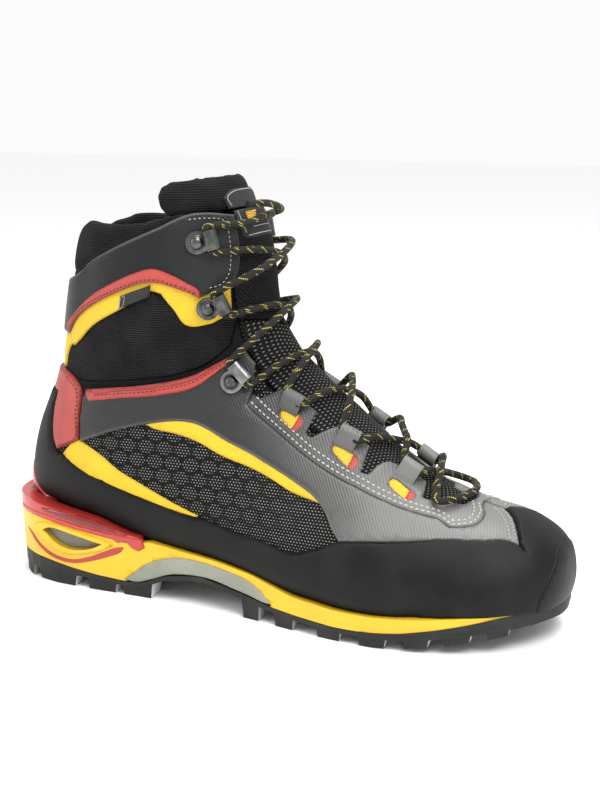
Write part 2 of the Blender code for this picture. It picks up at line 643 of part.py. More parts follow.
# (x, z) lines seen from the side, shared by the panels on each side of a seam.
STITCH_LINE = [(-9.5, 107.5), (1, 100), (14, 92), (27, 84), (41, 77), (58, 70), (71, 65),
               (83, 61.2), (93, 59)]
QUARTER_LOW = [(50, 48.6), (46, 53), (41, 60), (35, 66), (20, 74), (6, 80), (-9, 86), (-17, 89),
               (-28, 94), (-38, 97), (-50, 97.3), (-63, 95), (-78, 91), (-94, 85), (-102.5, 81.5)]
RAND_TOP_FRONT = [(126, 51.4), (118, 51.3), (97, 51.3), (83, 50.5), (60, 49.5), (50, 48.6)]
RAND_TOP_MIDDLE = [(50, 48.6), (35, 43), (24, 40), (11, 42), (-14, 45), (-32, 49), (-57, 53.5),
                   (-73, 57), (-89, 62)]
RAND_TOP_HEEL = [(-89, 62), (-104, 67), (-114, 72), (-120, 73.5)]
RAND_LOW = [(-89, 41.5), (-82, 38.6), (-74, 36.2), (-66, 34.6), (-60.5, 33.2), (-42, 30.6),
            (-20, 28.6), (1, 26), (26, 20.6), (50, 19.2), (71, 19), (95, 20), (116, 21.2),
            (136, 21.4)]
TRIM_LOW = [(-96, 104.6), (-90, 105.4), (-74, 108.4), (-53, 111.4), (-40, 114.4), (-34, 117.4),
            (-24, 125.4), (-16, 131.4)]
TRIM_HIGH = [(-14, 135), (-28, 127), (-37, 122), (-46, 119), (-60, 116), (-78, 113), (-98, 110)]
CUFF_TOP = [(-20, 203), (-36, 204.6), (-53, 197), (-76, 187), (-92, 179), (-102, 172)]
CUFF_TRIM_HIGH = [(-33, 166), (-40, 171), (-48, 175), (-56, 177), (-66, 174), (-77, 169),
                  (-90, 162), (-102, 153), (-112, 144)]
CUFF_TRIM_LOW = [(-112, 139.5), (-106, 146.5), (-94, 155), (-82, 161), (-65, 168), (-56, 170),
                 (-49, 169), (-40, 166), (-33, 162.5)]
# The same kind of line over the toe, as (s, phi) from the side to the front line.
TOE_SIDE = [(3.9, 0.56), (2.6, 0.6), (1.4, 0.62), (0.5, 0.62), (0.12, 0.62)]
STITCH_TOE = [(7.65, 0.634), (7.25, 0.58), (6.93, 0.5), (6.83, 0.4), (6.93, 0.25), (7.18, 0.12),
              (7.25, 0.03)]
TOE_SEAM = [(6.5, 0.03), (6.08, 0.138), (5.62, 0.293), (5.23, 0.407), (4.88, 0.49)]
EYESTAY_TABS = [(-7.5, 112.5), (-3, 111), (8, 116), (25, 105), (22.5, 95), (26, 93.5), (37, 98.5),
                (52, 88.5), (52.5, 78.5), (56, 77.5), (62, 81.5), (73, 76), (81, 71),
                (82.5, 66.4), (87, 65.6), (92, 68), (97, 66.4)]


def build_linings():
    edge = foot_edge(3.5)
    lining_edge = [(1.9, FRONT), (1.9, 0.35), (1.9, 0.7)] + foot_edge(12.0)[3:]
    rim = [(24.6 + 0.9 * (1 - math.cos(a)) / 2, a) for a in np.linspace(BACK, FRONT, 9)]
    sock("lining", lining_edge + rim, (LINING_IN, LINING_OUT), "lining_grey")

    throat = side_points([(104, 62), (96, 62), (75, 67), (55, 77), (36, 90), (18, 103),
                          (2, 116), (-9, 129), (-13, 137), (-17, 150)], 1)
    tongue = [(7.2, FRONT)] + throat + [(front_line(146), FRONT)]
    panel("tongue_instep", across_front(tongue), (TONGUE_IN, TONGUE_OUT), "dotted_mesh")

    # The textile foot: everything below the ankle line that the tongue leaves open.
    grown = [(7.12, FRONT)] + [(s - 0.02, phi + 0.022) for s, phi in throat]
    ankle = side_points([(-20, 137), (-30, 128), (-46, 121.5), (-62, 118.5),
                         (-80, 116), (-100, 114), (-116, 116)], 1)
    shell = edge + [(back_line(118), BACK)] + ankle[::-1] + grown[::-1]
    sock("lower_shell", shell, (SHELL_IN, SHELL_OUT), "dotted_mesh")


def build_quarters():
    for side, word in ((-1, "lateral"), (1, "medial")):
        top = TRIM_HIGH[::-1] + [(-8.5, 128), (-8, 114)] + STITCH_LINE
        foot = RAND_TOP_FRONT + QUARTER_LOW[1:] + [(-102, 98), (-101, 105)]
        quarter = side_points(top, side)
        quarter += [(s, side * phi) for s, phi in STITCH_TOE + TOE_SEAM]
        quarter += side_points(foot, side)
        panel(f"quarter_overlay_{word}", quarter, (OVERLAY_IN, OVERLAY_OUT), "grey_overlay")

        upper_band = [(-66, 97), (-50, 100), (-38, 100), (-17, 92), (6, 83), (20, 77), (35, 69),
                      (42, 62.5), (37, 64.5), (21, 68.5), (7, 74.2), (-17, 81), (-32, 87),
                      (-48, 91)]
        panel(f"upper_band_{word}", side_points(upper_band, side),
              (UNDERLAY_IN, UNDERLAY_OUT), "yellow_panel")
        lower_band = [(-106, 84), (-95, 78), (-86, 73), (-71, 64), (-54, 57), (-32, 49.5),
                      (-34, 47), (-57, 50), (-75, 54), (-92, 60), (-106, 66), (-116, 73)]
        panel(f"lower_band_{word}", side_points(lower_band, side),
              (UNDERLAY_IN, UNDERLAY_OUT), "yellow_panel")

        trim = TRIM_HIGH + TRIM_LOW
        panel(f"ankle_trim_{word}", side_points(trim, side), (TRIM_IN, TRIM_OUT), "red_trim")

        rand = side_points(RAND_TOP_FRONT + RAND_TOP_MIDDLE[1:] + RAND_LOW[:-1], side)
        rand += [(s, side * phi) for s, phi in TOE_SIDE[::-1] + [TOE_SEAM[-1]]]
        panel(f"rand_{word}", rand, (RUBBER_IN, RUBBER_OUT), "black_rubber", rest=rest_line)

    stay = [(7.28, FRONT)] + STITCH_TOE[:-1][::-1]
    stay += side_points(STITCH_LINE[::-1] + EYESTAY_TABS, 1) + [(7.75, 0.25), (7.6, FRONT)]
    panel("eyestay", across_front(stay), (OVERLAY_IN, OVERLAY_OUT), "grey_overlay")

    toe = [(6.5, FRONT)] + TOE_SEAM[1:] + TOE_SIDE + [(0.12, 0.3), (0.12, FRONT)]
    panel("toe_cap", across_front(toe), (RUBBER_IN, RUBBER_OUT), "black_rubber", rest=rest_line)

    counter = side_points([(-89.5, 61.5)] + RAND_TOP_HEEL[1:] + [(-123.5, 78), (-124.6, 88),
                          (-123.5, 97), (-121.5, 104)], 1)
    counter += [(back_line(107), BACK), (back_line(75), BACK), (back_line(50), BACK)]
    counter += side_points([(-140, 49), (-128, 46.5), (-111, 44.6), (-95, 42.6),
                            (-89.5, 41.2)], 1)
    panel("heel_counter", across_back(counter), (RUBBER_IN, RUBBER_OUT), "black_rubber",
          rest=rest_line)

    tab = [(back_line(118), BACK), (back_line(108), BACK)]
    tab += side_points([(-120.5, 105.2), (-122.4, 98), (-123.4, 89), (-122.4, 79),
                        (-119.6, 74.6), (-103.5, 82.2), (-103, 98), (-102.4, 105), (-104, 111),
                        (-115, 117)], 1)
    panel("heel_tab", across_back(tab), (OVERLAY_IN, OVERLAY_OUT + 0.4), "red_trim")


def build_ankle():
    """The soft ring and tongue that bend at the ankle."""
    low = side_points([(-18.5, 149), (-21, 138.5), (-31, 129.5), (-46, 123), (-62, 120),
                       (-80, 117.5), (-100, 115.5), (-116, 117.5)], 1)
    high = side_points([(-19.5, 152), (-21, 152.5), (-28, 149), (-40, 148), (-47, 157),
                        (-56, 163), (-66, 158), (-79, 151), (-94, 142.5), (-106, 133),
                        (-112, 131)], 1)
    ring = low + [(back_line(119.5), BACK), (back_line(133), BACK)] + high[::-1]
    panel("ankle_textile", across_back(ring), (SHELL_IN, SHELL_OUT), "black_textile")

    shin = [(front_line(147), FRONT)]
    shin += side_points([(-17.5, 151), (-18.2, 165), (-19, 178), (-19.2, 190), (-20, 200)], -1)
    shin += [(front_line(204), FRONT)]
    panel("tongue_shin", across_front(shin), (TONGUE_IN, TONGUE_OUT), "black_textile")


def build_cuff(parent):
    where = {"origin": ANKLE_PIVOT, "parent": parent}
    edge = [(-21, 203), (-20.6, 190), (-20, 176), (-20, 165), (-20, 153.5)]
    low = [(-28, 150), (-40, 149), (-47, 158), (-56, 164.2), (-66, 159.2), (-79, 152),
           (-94, 143.6), (-106, 134.4), (-112, 132)]
    rim = [(-108, 194), (-96, 199.4), (-86, 197.4), (-60, 201), (-40, 205), (-28, 204.6)]
    shell = side_points(edge + low, 1) + [(back_line(134), BACK), (back_line(188), BACK)]
    shell += side_points(rim, 1)
    panel("cuff_shell", across_back(shell), (SHELL_IN, SHELL_OUT), "black_textile", **where)

    band = side_points([(-20.5, 202.5), (-17.6, 190), (-17.2, 176), (-20, 169)], 1)
    band += side_points(CUFF_TRIM_LOW[::-1], 1)
    band += [(back_line(143), BACK), (back_line(166), BACK)] + side_points(CUFF_TOP[::-1], 1)
    panel("cuff_band", across_back(band), (OVERLAY_IN, OVERLAY_OUT), "grey_overlay", **where)

    trim = side_points(CUFF_TRIM_HIGH, 1) + side_points(CUFF_TRIM_LOW, 1)
    lateral = [(s, -phi) for s, phi in trim]
    panel("cuff_trim_lateral", lateral, (TRIM_IN, TRIM_OUT), "red_trim", **where)
    panel("cuff_trim_medial", trim, (TRIM_IN, TRIM_OUT), "red_trim", **where)

    yellow = [(-20, 169), (-20, 154), (-29, 148.6), (-37, 147), (-41, 148), (-46, 156),
              (-52, 164), (-57, 165.5), (-65, 160), (-78, 153.4), (-94, 144.6), (-105, 135.5),
              (-110, 132), (-113, 138), (-104, 151), (-92, 160), (-78, 167), (-60, 173),
              (-46, 172), (-33, 168.5)]
    for side, word in ((-1, "lateral"), (1, "medial")):
        panel(f"cuff_underlay_{word}", side_points(yellow, side),
              (UNDERLAY_IN, UNDERLAY_OUT), "yellow_panel", **where)

    collar = side_points(CUFF_TOP[1:], 1) + [(back_line(167), BACK), (back_line(187), BACK)]
    collar += side_points([(-107, 193), (-96, 198.6), (-86, 196.8), (-60, 200.4), (-44, 203.4)], 1)
    panel("collar", across_back(collar), (UNDERLAY_IN, OVERLAY_OUT), "black_textile", **where)

    tag = [(-74, 162), (-57, 168.4), (-57.6, 162.6), (-75, 155)]
    panel("care_tag", side_points(tag, -1), (OVERLAY_IN, OVERLAY_IN + 0.6), "black_textile",
          **where)


def build_tongue_top(parent):
    where = {"origin": TONGUE_PIVOT, "parent": parent}
    flap = [(25.75, FRONT), (25.75, -0.45), (25.75, -0.9), (25.8, -1.2), (26.4, -1.27),
            (27.2, -1.22), (27.75, -1.0), (27.95, -0.6), (27.98, FRONT)]
    panel("tongue_top", across_front(flap), (TONGUE_TOP_IN, TONGUE_TOP_OUT), "black_textile",
          **where)
    label = [(25.95, FRONT), (25.95, -0.36), (27.0, -0.4), (27.0, FRONT)]
    panel("tongue_label", across_front(label), (TONGUE_TOP_OUT + GAP, TONGUE_TOP_OUT + GAP + 0.7),
          "black_textile", **where)


# ---------------------------------------------------------------- metal parts and lace
HOOK_PROFILE = [(-4.6, 0.0), (11.0, 0.0), (11.0, 6.8), (5.2, 6.8), (5.2, 5.6), (9.8, 5.6),
                (9.8, 1.2), (-4.6, 1.2)]
HOOK_THROAT = (7.4, 3.4)     # where the lace lies in that profile
CLEAT_PROFILE = [(-4.6, 0.0), (10.4, 0.0), (10.4, 7.2), (4.4, 7.2), (4.4, 5.8), (9.0, 5.8),
                 (9.0, 1.2), (-4.6, 1.2)]
CLEAT_THROAT = (6.6, 3.5)


def bent_strip(profile, width):
    """A strip of metal bent to an (along, up) profile, width across."""
    bm = bmesh.new()
    bm.faces.new([bm.verts.new((x, -width / 2, z)) for x, z in profile])
    made = bmesh.ops.extrude_face_region(bm, geom=bm.faces[:], use_keep_orig=True)
    moved = [v for v in made["geom"] if isinstance(v, bmesh.types.BMVert)]
    bmesh.ops.translate(bm, verts=moved, vec=(0, width, 0))
    bmesh.ops.recalc_face_normals(bm, faces=bm.faces)
    return bm


def domed_rivet(radius, height):
    """A rivet head turned about Z, standing on Z = 0."""
    bm = bmesh.new()
    profile = [(0, 0), (radius, 0), (radius, height * 0.35), (radius * 0.82, height * 0.75),
               (radius * 0.45, height * 0.96), (0, height)]
    verts = [bm.verts.new((r, 0, z)) for r, z in profile]
    edges = [bm.edges.new(pair) for pair in zip(verts, verts[1:])]
    bmesh.ops.spin(bm, geom=verts + edges, cent=(0, 0, 0), axis=(0, 0, 1),
                   angle=2 * math.pi, steps=14, use_merge=True)
    bmesh.ops.remove_doubles(bm, verts=bm.verts, dist=1e-5)
    bmesh.ops.recalc_face_normals(bm, faces=bm.faces)
    return bm


def tube_ring(outer, inner, length):
    """A short tube along X."""
    bm = bmesh.new()
    profile = [(-length / 2, inner), (length / 2, inner), (length / 2, outer),
               (-length / 2, outer)]
    verts = [bm.verts.new((x, 0, r)) for x, r in profile]
    edges = [bm.edges.new(pair) for pair in zip(verts, verts[1:] + verts[:1])]
    bmesh.ops.spin(bm, geom=verts + edges, cent=(0, 0, 0), axis=(1, 0, 0),
                   angle=2 * math.pi, steps=12, use_merge=True)
    bmesh.ops.remove_doubles(bm, verts=bm.verts, dist=1e-5)
    bmesh.ops.recalc_face_normals(bm, faces=bm.faces)
    return bm


def on_skin(bm, s, phi, height, turn):
    """Set a piece modelled at the origin onto the upper, turned about the skin's normal."""
    place = SKIN.frame(s, phi, height) @ Matrix.Rotation(turn, 4, "Z")
    bmesh.ops.transform(bm, matrix=place, verts=bm.verts)
    return bm


# Where each piece of lace hardware sits, seen from the side: (x, z).
CLEAT_AT, MID_HOOK_AT, TOP_HOOK_AT = (-18.5, 118.5), (-30, 157.5), (-34, 190.5)
LOOPS_AT = [(13.5, 109.5), (42, 92.5), (71.5, 75.8)]
LOOP_OUTER, LOOP_INNER, LOOP_LENGTH, LOOP_HEIGHT = 3.7, 2.5, 8.0, 6.9


def facing_front(s, phi, side):
    """Turn that points a piece's +X across the skin to the front line."""
    place = SKIN.frame(s, phi)
    towards = SKIN.at(s, phi - side * 0.15) - SKIN.at(s, phi)
    local = place.to_3x3().inverted() @ towards
    return math.atan2(local.y, local.x)


def build_hardware(parent):
    where = {"origin": ANKLE_PIVOT, "parent": parent}
    for side, word in ((-1, "lateral"), (1, "medial")):
        s, phi = side_points([CLEAT_AT], side)[0]
        turn = facing_front(s, phi, side)
        base = HARDWARE_BASE
        finished(f"ankle_cleat_{word}",
                 on_skin(bent_strip(CLEAT_PROFILE, 10.5), s, phi, base, turn), "bright_metal")
        finished(f"cleat_rivet_{word}",
                 on_skin(domed_rivet(RIVET_RADIUS, 2.2), s, phi, base + 1.2 + GAP, turn),
                 "gunmetal")
        for label, spot in (("top", TOP_HOOK_AT), ("mid", MID_HOOK_AT)):
            s, phi = side_points([spot], side)[0]
            turn = facing_front(s, phi, side)
            finished(f"{label}_hook_{word}",
                     on_skin(bent_strip(HOOK_PROFILE, HOOK_WIDTH), s, phi, base, turn),
                     "gunmetal", **where)
            finished(f"{label}_rivet_{word}",
                     on_skin(domed_rivet(RIVET_RADIUS, 2.2), s, phi, base + 1.2 + GAP, turn),
                     "gunmetal", **where)
        for number, spot in enumerate(LOOPS_AT, 1):
            s, phi = side_points([spot], side)[0]
            finished(f"lace_loop_{word}_{number}",
                     on_skin(tube_ring(LOOP_OUTER, LOOP_INNER, LOOP_LENGTH), s, phi,
                             LOOP_HEIGHT, 0.0), "yellow_panel")


LACE_LOW, LACE_HIGH = 4.9, 10.0     # height of the lace's centre where two runs cross
HARDWARE_BASE = OVERLAY_OUT + GAP + 0.3


def held_run(kind, spot, side):
    """The lace's points where a hook, cleat or loop holds it, and the (s, phi) of both ends."""
    s, phi = side_points([spot], side)[0]
    if kind == "loop":
        place = SKIN.frame(s, phi, LOOP_HEIGHT)
        run = [place @ Vector((v, 0, 0)) for v in (5.4, -5.4)]
        reach, forward = 5.4, 0.0
    else:
        turn = facing_front(s, phi, side)
        place = SKIN.frame(s, phi, HARDWARE_BASE) @ Matrix.Rotation(turn, 4, "Z")
        forward, up = CLEAT_THROAT if kind == "cleat" else HOOK_THROAT
        reach = 7.8 if kind == "cleat" else 6.6
        run = [place @ Vector((forward, v, up)) for v in (reach, 2.6, -2.6, -reach)]
        if run[0].z < run[-1].z:
            run.reverse()
    per_s = (SKIN.at(s + 0.3, phi) - SKIN.at(s - 0.3, phi)).length / 0.6
    per_phi = (SKIN.at(s, phi - side * 0.1) - SKIN.at(s, phi)).length / 0.1
    phi -= side * forward / per_phi
    return run, (s + reach / per_s, phi), (s - reach / per_s, phi)


def lace_run(first_side, first_level):
    """One half of the lace, from the top hook down to the toe."""
    points, level, side, last = [], first_level, first_side, None
    for kind, spot in [("hook", TOP_HOOK_AT), ("hook", MID_HOOK_AT), ("cleat", CLEAT_AT)] + [
            ("loop", spot) for spot in LOOPS_AT]:
        run, upper, lower = held_run(kind, spot, side)
        if last:
            points += crossing(last, upper, level)
            level = LACE_LOW + LACE_HIGH - level
        points += run
        last, side = lower, -side
    points += crossing(last, (8.55, side * 0.45), level)[:3]
    points += [SKIN.at(8.5, side * 0.45, 6.4), SKIN.at(8.0, side * 0.33, 6.0)]
    return points


def crossing(start, end, level):
    """Points of a run over the tongue between two (s, phi) places."""
    out = []
    for f, lift in ((0.2, 1.6), (0.4, 0.2), (0.6, 0.2), (0.8, 1.6)):
        s = start[0] + (end[0] - start[0]) * f
        phi = start[1] + (end[1] - start[1]) * f
        out.append(SKIN.at(s, phi, level + lift))
    return out


def lace_route():
    """Route points in millimetres, from one tucked end down to the toe and up to the other."""
    down = [SKIN.at(25.2, 0.3, LACE_LOW), SKIN.at(25.15, 0.08, LACE_LOW),
            SKIN.at(25.1, -0.16, LACE_LOW + 0.6), SKIN.at(25.0, -0.4, LACE_LOW + 1.9)]
    down += lace_run(-1, LACE_LOW) + [SKIN.at(7.7, 0.0, 5.6)]
    up = [SKIN.at(25.85, -0.3, LACE_LOW + 2), SKIN.at(25.6, -0.05, LACE_HIGH),
          SKIN.at(25.25, 0.25, LACE_HIGH)]
    up += lace_run(1, LACE_HIGH)
    return down + up[::-1]


def build_lace():
    route = lace_route()
    curve = bpy.data.curves.new("lace", "CURVE")
    curve.dimensions = "3D"
    curve.bevel_depth = LACE_RADIUS * MM
    curve.bevel_resolution = 2
    curve.use_fill_caps = True
    spline = curve.splines.new("POLY")
    spline.points.add(len(route) - 1)
    for point, co in zip(spline.points, route):
        point.co = (*((co + ORIGIN_SHIFT) * MM), 1.0)
    curve.materials.append(MATERIALS["lace_black"])
    bpy.context.scene.collection.objects.link(bpy.data.objects.new("lace", curve))


def pivot(name, place, parent=None):
    """An empty on a joint's axis."""
    empty = bpy.data.objects.new(name, None)
    bpy.context.scene.collection.objects.link(empty)
    empty.location = (Vector(place) + ORIGIN_SHIFT) * MM
    if parent:
        empty.parent = parent
        empty.matrix_parent_inverse = parent.matrix_basis.inverted()
    return empty


def main():
    global SKIN
    remove_everything()
    SKIN = UpperSurface()
    for name, values in FINISHES.items():
        MATERIALS[name] = make_material(name, *values)
    ankle = pivot("ankle_axis", ANKLE_PIVOT)
    flap = pivot("tongue_axis", TONGUE_PIVOT, ankle)
    bpy.context.view_layer.update()
    build_sole()
    build_linings()
    build_quarters()
    build_ankle()
    build_cuff(ankle)
    build_tongue_top(flap)
    build_hardware(ankle)
    build_lace()


main()
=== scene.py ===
"""Looks of a right mountaineering boot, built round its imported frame.

Sizes are millimetres in the boot's own frame: +X to the toe, +Y to the inside, +Z up.
A place on the upper is given as s, the station along the boot, and phi, the angle round it.
"""
from __future__ import annotations

import logging
import math
from collections.abc import Callable, Sequence
from dataclasses import dataclass
from enum import Enum
from typing import NamedTuple

import bmesh
import bpy
import numpy as np
from mathutils import Matrix, Vector


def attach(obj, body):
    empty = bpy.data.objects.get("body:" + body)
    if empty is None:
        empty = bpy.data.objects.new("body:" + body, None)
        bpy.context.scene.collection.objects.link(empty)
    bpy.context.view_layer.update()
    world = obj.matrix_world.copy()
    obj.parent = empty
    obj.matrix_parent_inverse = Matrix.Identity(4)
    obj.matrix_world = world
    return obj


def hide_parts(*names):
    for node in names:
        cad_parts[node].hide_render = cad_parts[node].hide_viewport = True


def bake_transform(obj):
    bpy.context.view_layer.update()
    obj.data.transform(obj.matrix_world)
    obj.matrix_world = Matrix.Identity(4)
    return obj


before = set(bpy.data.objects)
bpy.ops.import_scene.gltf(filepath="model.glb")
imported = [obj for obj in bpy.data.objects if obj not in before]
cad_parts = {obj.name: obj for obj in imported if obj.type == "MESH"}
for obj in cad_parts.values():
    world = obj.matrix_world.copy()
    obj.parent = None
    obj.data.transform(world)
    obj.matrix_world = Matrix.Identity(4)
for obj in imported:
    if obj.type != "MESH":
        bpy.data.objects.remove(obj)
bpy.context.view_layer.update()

logging.basicConfig(level=logging.INFO, format="%(message)s")
LOG = logging.getLogger("boot")

Array = np.ndarray
BMesh = bmesh.types.BMesh
Material = bpy.types.Material
Object = bpy.types.Object
Socket = bpy.types.NodeSocket
Tree = bpy.types.NodeTree
Pair = tuple[float, float]
Triple = tuple[float, float, float]
Line = Sequence[Pair]
Place = Callable[[Array, Array, Array], Array]

MM = 0.001
TINY = 1e-6
SHIFT = np.array([0.75, 0.1, 0.0])
FRONT, BACK = 0.0, math.pi
SIDES = ((-1, "lateral"), (1, "medial"))


# ---------- the boot's form
class Section(NamedTuple):
    """One section of the upper, from a point on its front line to one on its back line."""

    front: Pair
    back: Pair
    wide_out: float
    wide_in: float
    y_front: float
    y_back: float
    widest: float
    p: float
    q: float


SECTIONS = tuple(Section(*row) for row in (
    ((149.5, 20.5), (97, 16.2), 44, 43, 5, 1, 0.93, 2.3, 6),
    ((150.8, 26), (96, 16), 44, 43, 5, 1, 0.93, 2.3, 6),
    ((151, 33), (95, 15.8), 44, 43, 5, 1, 0.92, 2.3, 6),
    ((149, 42), (94, 15.6), 44.4, 43.4, 5, 1, 0.91, 2.3, 6),
    ((144, 48.2), (93, 15.5), 44.4, 43.4, 5, 1, 0.90, 2.3, 6),
    ((136.5, 53), (92, 15.4), 44.4, 43.4, 5, 1, 0.89, 2.25, 5.5),
    ((126, 58), (89.5, 15.2), 44.4, 43.4, 5, 1, 0.87, 2.2, 5),
    ((112, 61), (85.5, 15), 45.4, 43.4, 5, 1, 0.84, 2.1, 4.5),
    ((98, 65), (80, 14.7), 46.9, 43.4, 5, 0, 0.82, 2, 4.2),
    ((82, 71.5), (72, 14.3), 48.4, 43.4, 5, 0, 0.80, 1.9, 4),
    ((66, 81.5), (58, 14), 48.9, 42.4, 5, -1, 0.77, 1.8, 3.8),
    ((52, 93), (40, 14), 46.9, 40.4, 5, -1, 0.75, 1.75, 3.6),
    ((38, 105), (18, 15.8), 43.9, 38.4, 5, -1, 0.75, 1.75, 3.4),
    ((26, 115), (-6, 19.6), 40.8, 37.3, 4, 0, 0.74, 1.75, 3.2),
    ((16, 124), (-35, 22.8), 38.3, 36.3, 4, 1, 0.72, 1.75, 3),
    ((8, 132), (-70, 23), 36.3, 35.3, 3, 1, 0.69, 1.75, 2.7),
    ((3, 139.5), (-105, 24.5), 35.3, 34.8, 3, 1, 0.65, 1.78, 2.4),
    ((0, 146), (-133, 27), 34.8, 34.8, 2, 1, 0.61, 1.8, 2.2),
    ((-3, 152), (-147, 40), 34.8, 34.8, 2, 1, 0.57, 1.85, 2.1),
    ((-5, 158), (-148, 60), 34.8, 34.8, 2, 1, 0.54, 1.9, 2.05),
    ((-6, 164), (-143.5, 80), 34.8, 34.8, 2, 1, 0.52, 1.95, 2),
    ((-7, 170), (-136, 97), 35.9, 36.4, 2, 1, 0.51, 2, 2),
    ((-8, 176), (-130, 112), 36.4, 37.4, 2, 1, 0.5, 2, 2),
    ((-9, 183), (-127, 130), 36.9, 37.4, 2, 1, 0.5, 2, 2),
    ((-11, 191), (-123.5, 150), 36.9, 36.9, 2, 1, 0.5, 2.05, 2.05),
    ((-14, 199), (-119, 170), 37.4, 37.4, 2, 1, 0.5, 2.1, 2.1),
    ((-18, 208), (-113, 192), 38.4, 38.4, 2, 1, 0.5, 2.1, 2.1),
    ((-21.5, 216), (-109.5, 205), 38.6, 38.6, 2, 1, 0.5, 2.1, 2.1),
    ((-26, 225), (-106, 215), 38.6, 38.6, 2, 1, 0.5, 2.1, 2.1),
))
LAST = len(SECTIONS) - 1
HEEL_SECTION = 17
ALONG, ROUND = 9.0, 40.0        # millimetres on a flat sheet for one station and one radian

SOLE_OUTLINE = (
    (-156, 0), (-150, -20), (-132, -33), (-105, -36), (-75, -36), (-40, -37), (-5, -41),
    (30, -48), (60, -52), (90, -51), (118, -43), (138, -29), (150, -10), (153, 6), (149, 24),
    (137, 38), (115, 48), (88, 52), (60, 50.5), (30, 45), (0, 39), (-40, 35), (-75, 35),
    (-105, 35), (-132, 32), (-150, 19))
OUTSOLE_TOP = (
    (-160, 15.5), (-141, 15), (-127, 14), (-109, 11), (-92, 9), (-77, 8), (-70, 8), (-62, 10),
    (-54, 14), (-45, 16), (-31, 17.6), (-25, 17), (-5, 13.5), (14, 10), (31, 8.6), (50, 7.5),
    (71, 7.8), (87, 9), (102, 11), (117, 13.3), (130, 15.3), (147, 16.4), (160, 16.6))
MIDSOLE_TOP = (
    (-160, 38.6), (-137, 38.6), (-126, 37.6), (-108, 34.6), (-91, 32.6), (-83, 31.4),
    (-72, 29.5), (-61, 32), (-42, 29.4), (-20, 27.4), (1, 24.4), (26, 18), (50, 16),
    (71, 15.8), (95, 17.4), (116, 19.4), (136, 20), (160, 20.2))
LEDGE_TOP = (
    (-160, 47), (-137, 47), (-126, 45), (-107, 43), (-93, 41), (-84, 38), (-74, 35), (-62, 33))
FLOOR = (
    (-160, 27), (-135, 26), (-105, 24.5), (-70, 23), (-35, 22.8), (-6, 19.6), (18, 15.8),
    (40, 14), (66, 14), (92, 15.3), (106, 17), (120, 19), (135, 20.3), (160, 20.5))
LEDGE_FRONT = -66.5
PLAN_STATIONS = (-143, -136, -126, -112, -95, -78, -60, -40, -20, 0, 20, 40, 60, 80, 98, 112,
                 124, 133, 140, 145)
HEEL_END, TOE_END = -148.4, 150.0
FOOT_GAP, ABOVE_RIM = 0.4, 80.0
FOOT_STATIONS = (130, 116, 104, 88, 70, 50, 30, 10, -10, -35, -60, -85, -105, -122)


def table(points: Line, x: float | Array) -> float | Array:
    """Height read off a line of (x, z) points."""
    xs, zs = zip(*points)
    return np.interp(x, xs, zs)


def smoothstep(x: float | Array, low: float, high: float) -> float | Array:
    """Smooth rise from 0 at low to 1 at high."""
    t = np.clip((np.asarray(x, float) - low) / (high - low), 0.0, 1.0)
    return t * t * (3 - 2 * t)


def spline(keys: Array, where: Array) -> Array:
    """Rows of a table read between its keys on a Catmull-Rom curve.

    Args:
        keys: one row of values for each whole number.
        where: the places to read, as numbers counted in rows.

    Returns:
        One row of values for each place.
    """
    padded = np.vstack([2 * keys[0] - keys[1], keys, 2 * keys[-1] - keys[-2]])
    i = np.minimum(where.astype(int), len(keys) - 2)
    f = (where - i)[:, None]
    a, b, c, d = (padded[i + k] for k in range(4))
    return 0.5 * (2 * b + (c - a) * f + (2 * a - 5 * b + 4 * c - d) * f ** 2
                  + (3 * b - a - 3 * c + d) * f ** 3)


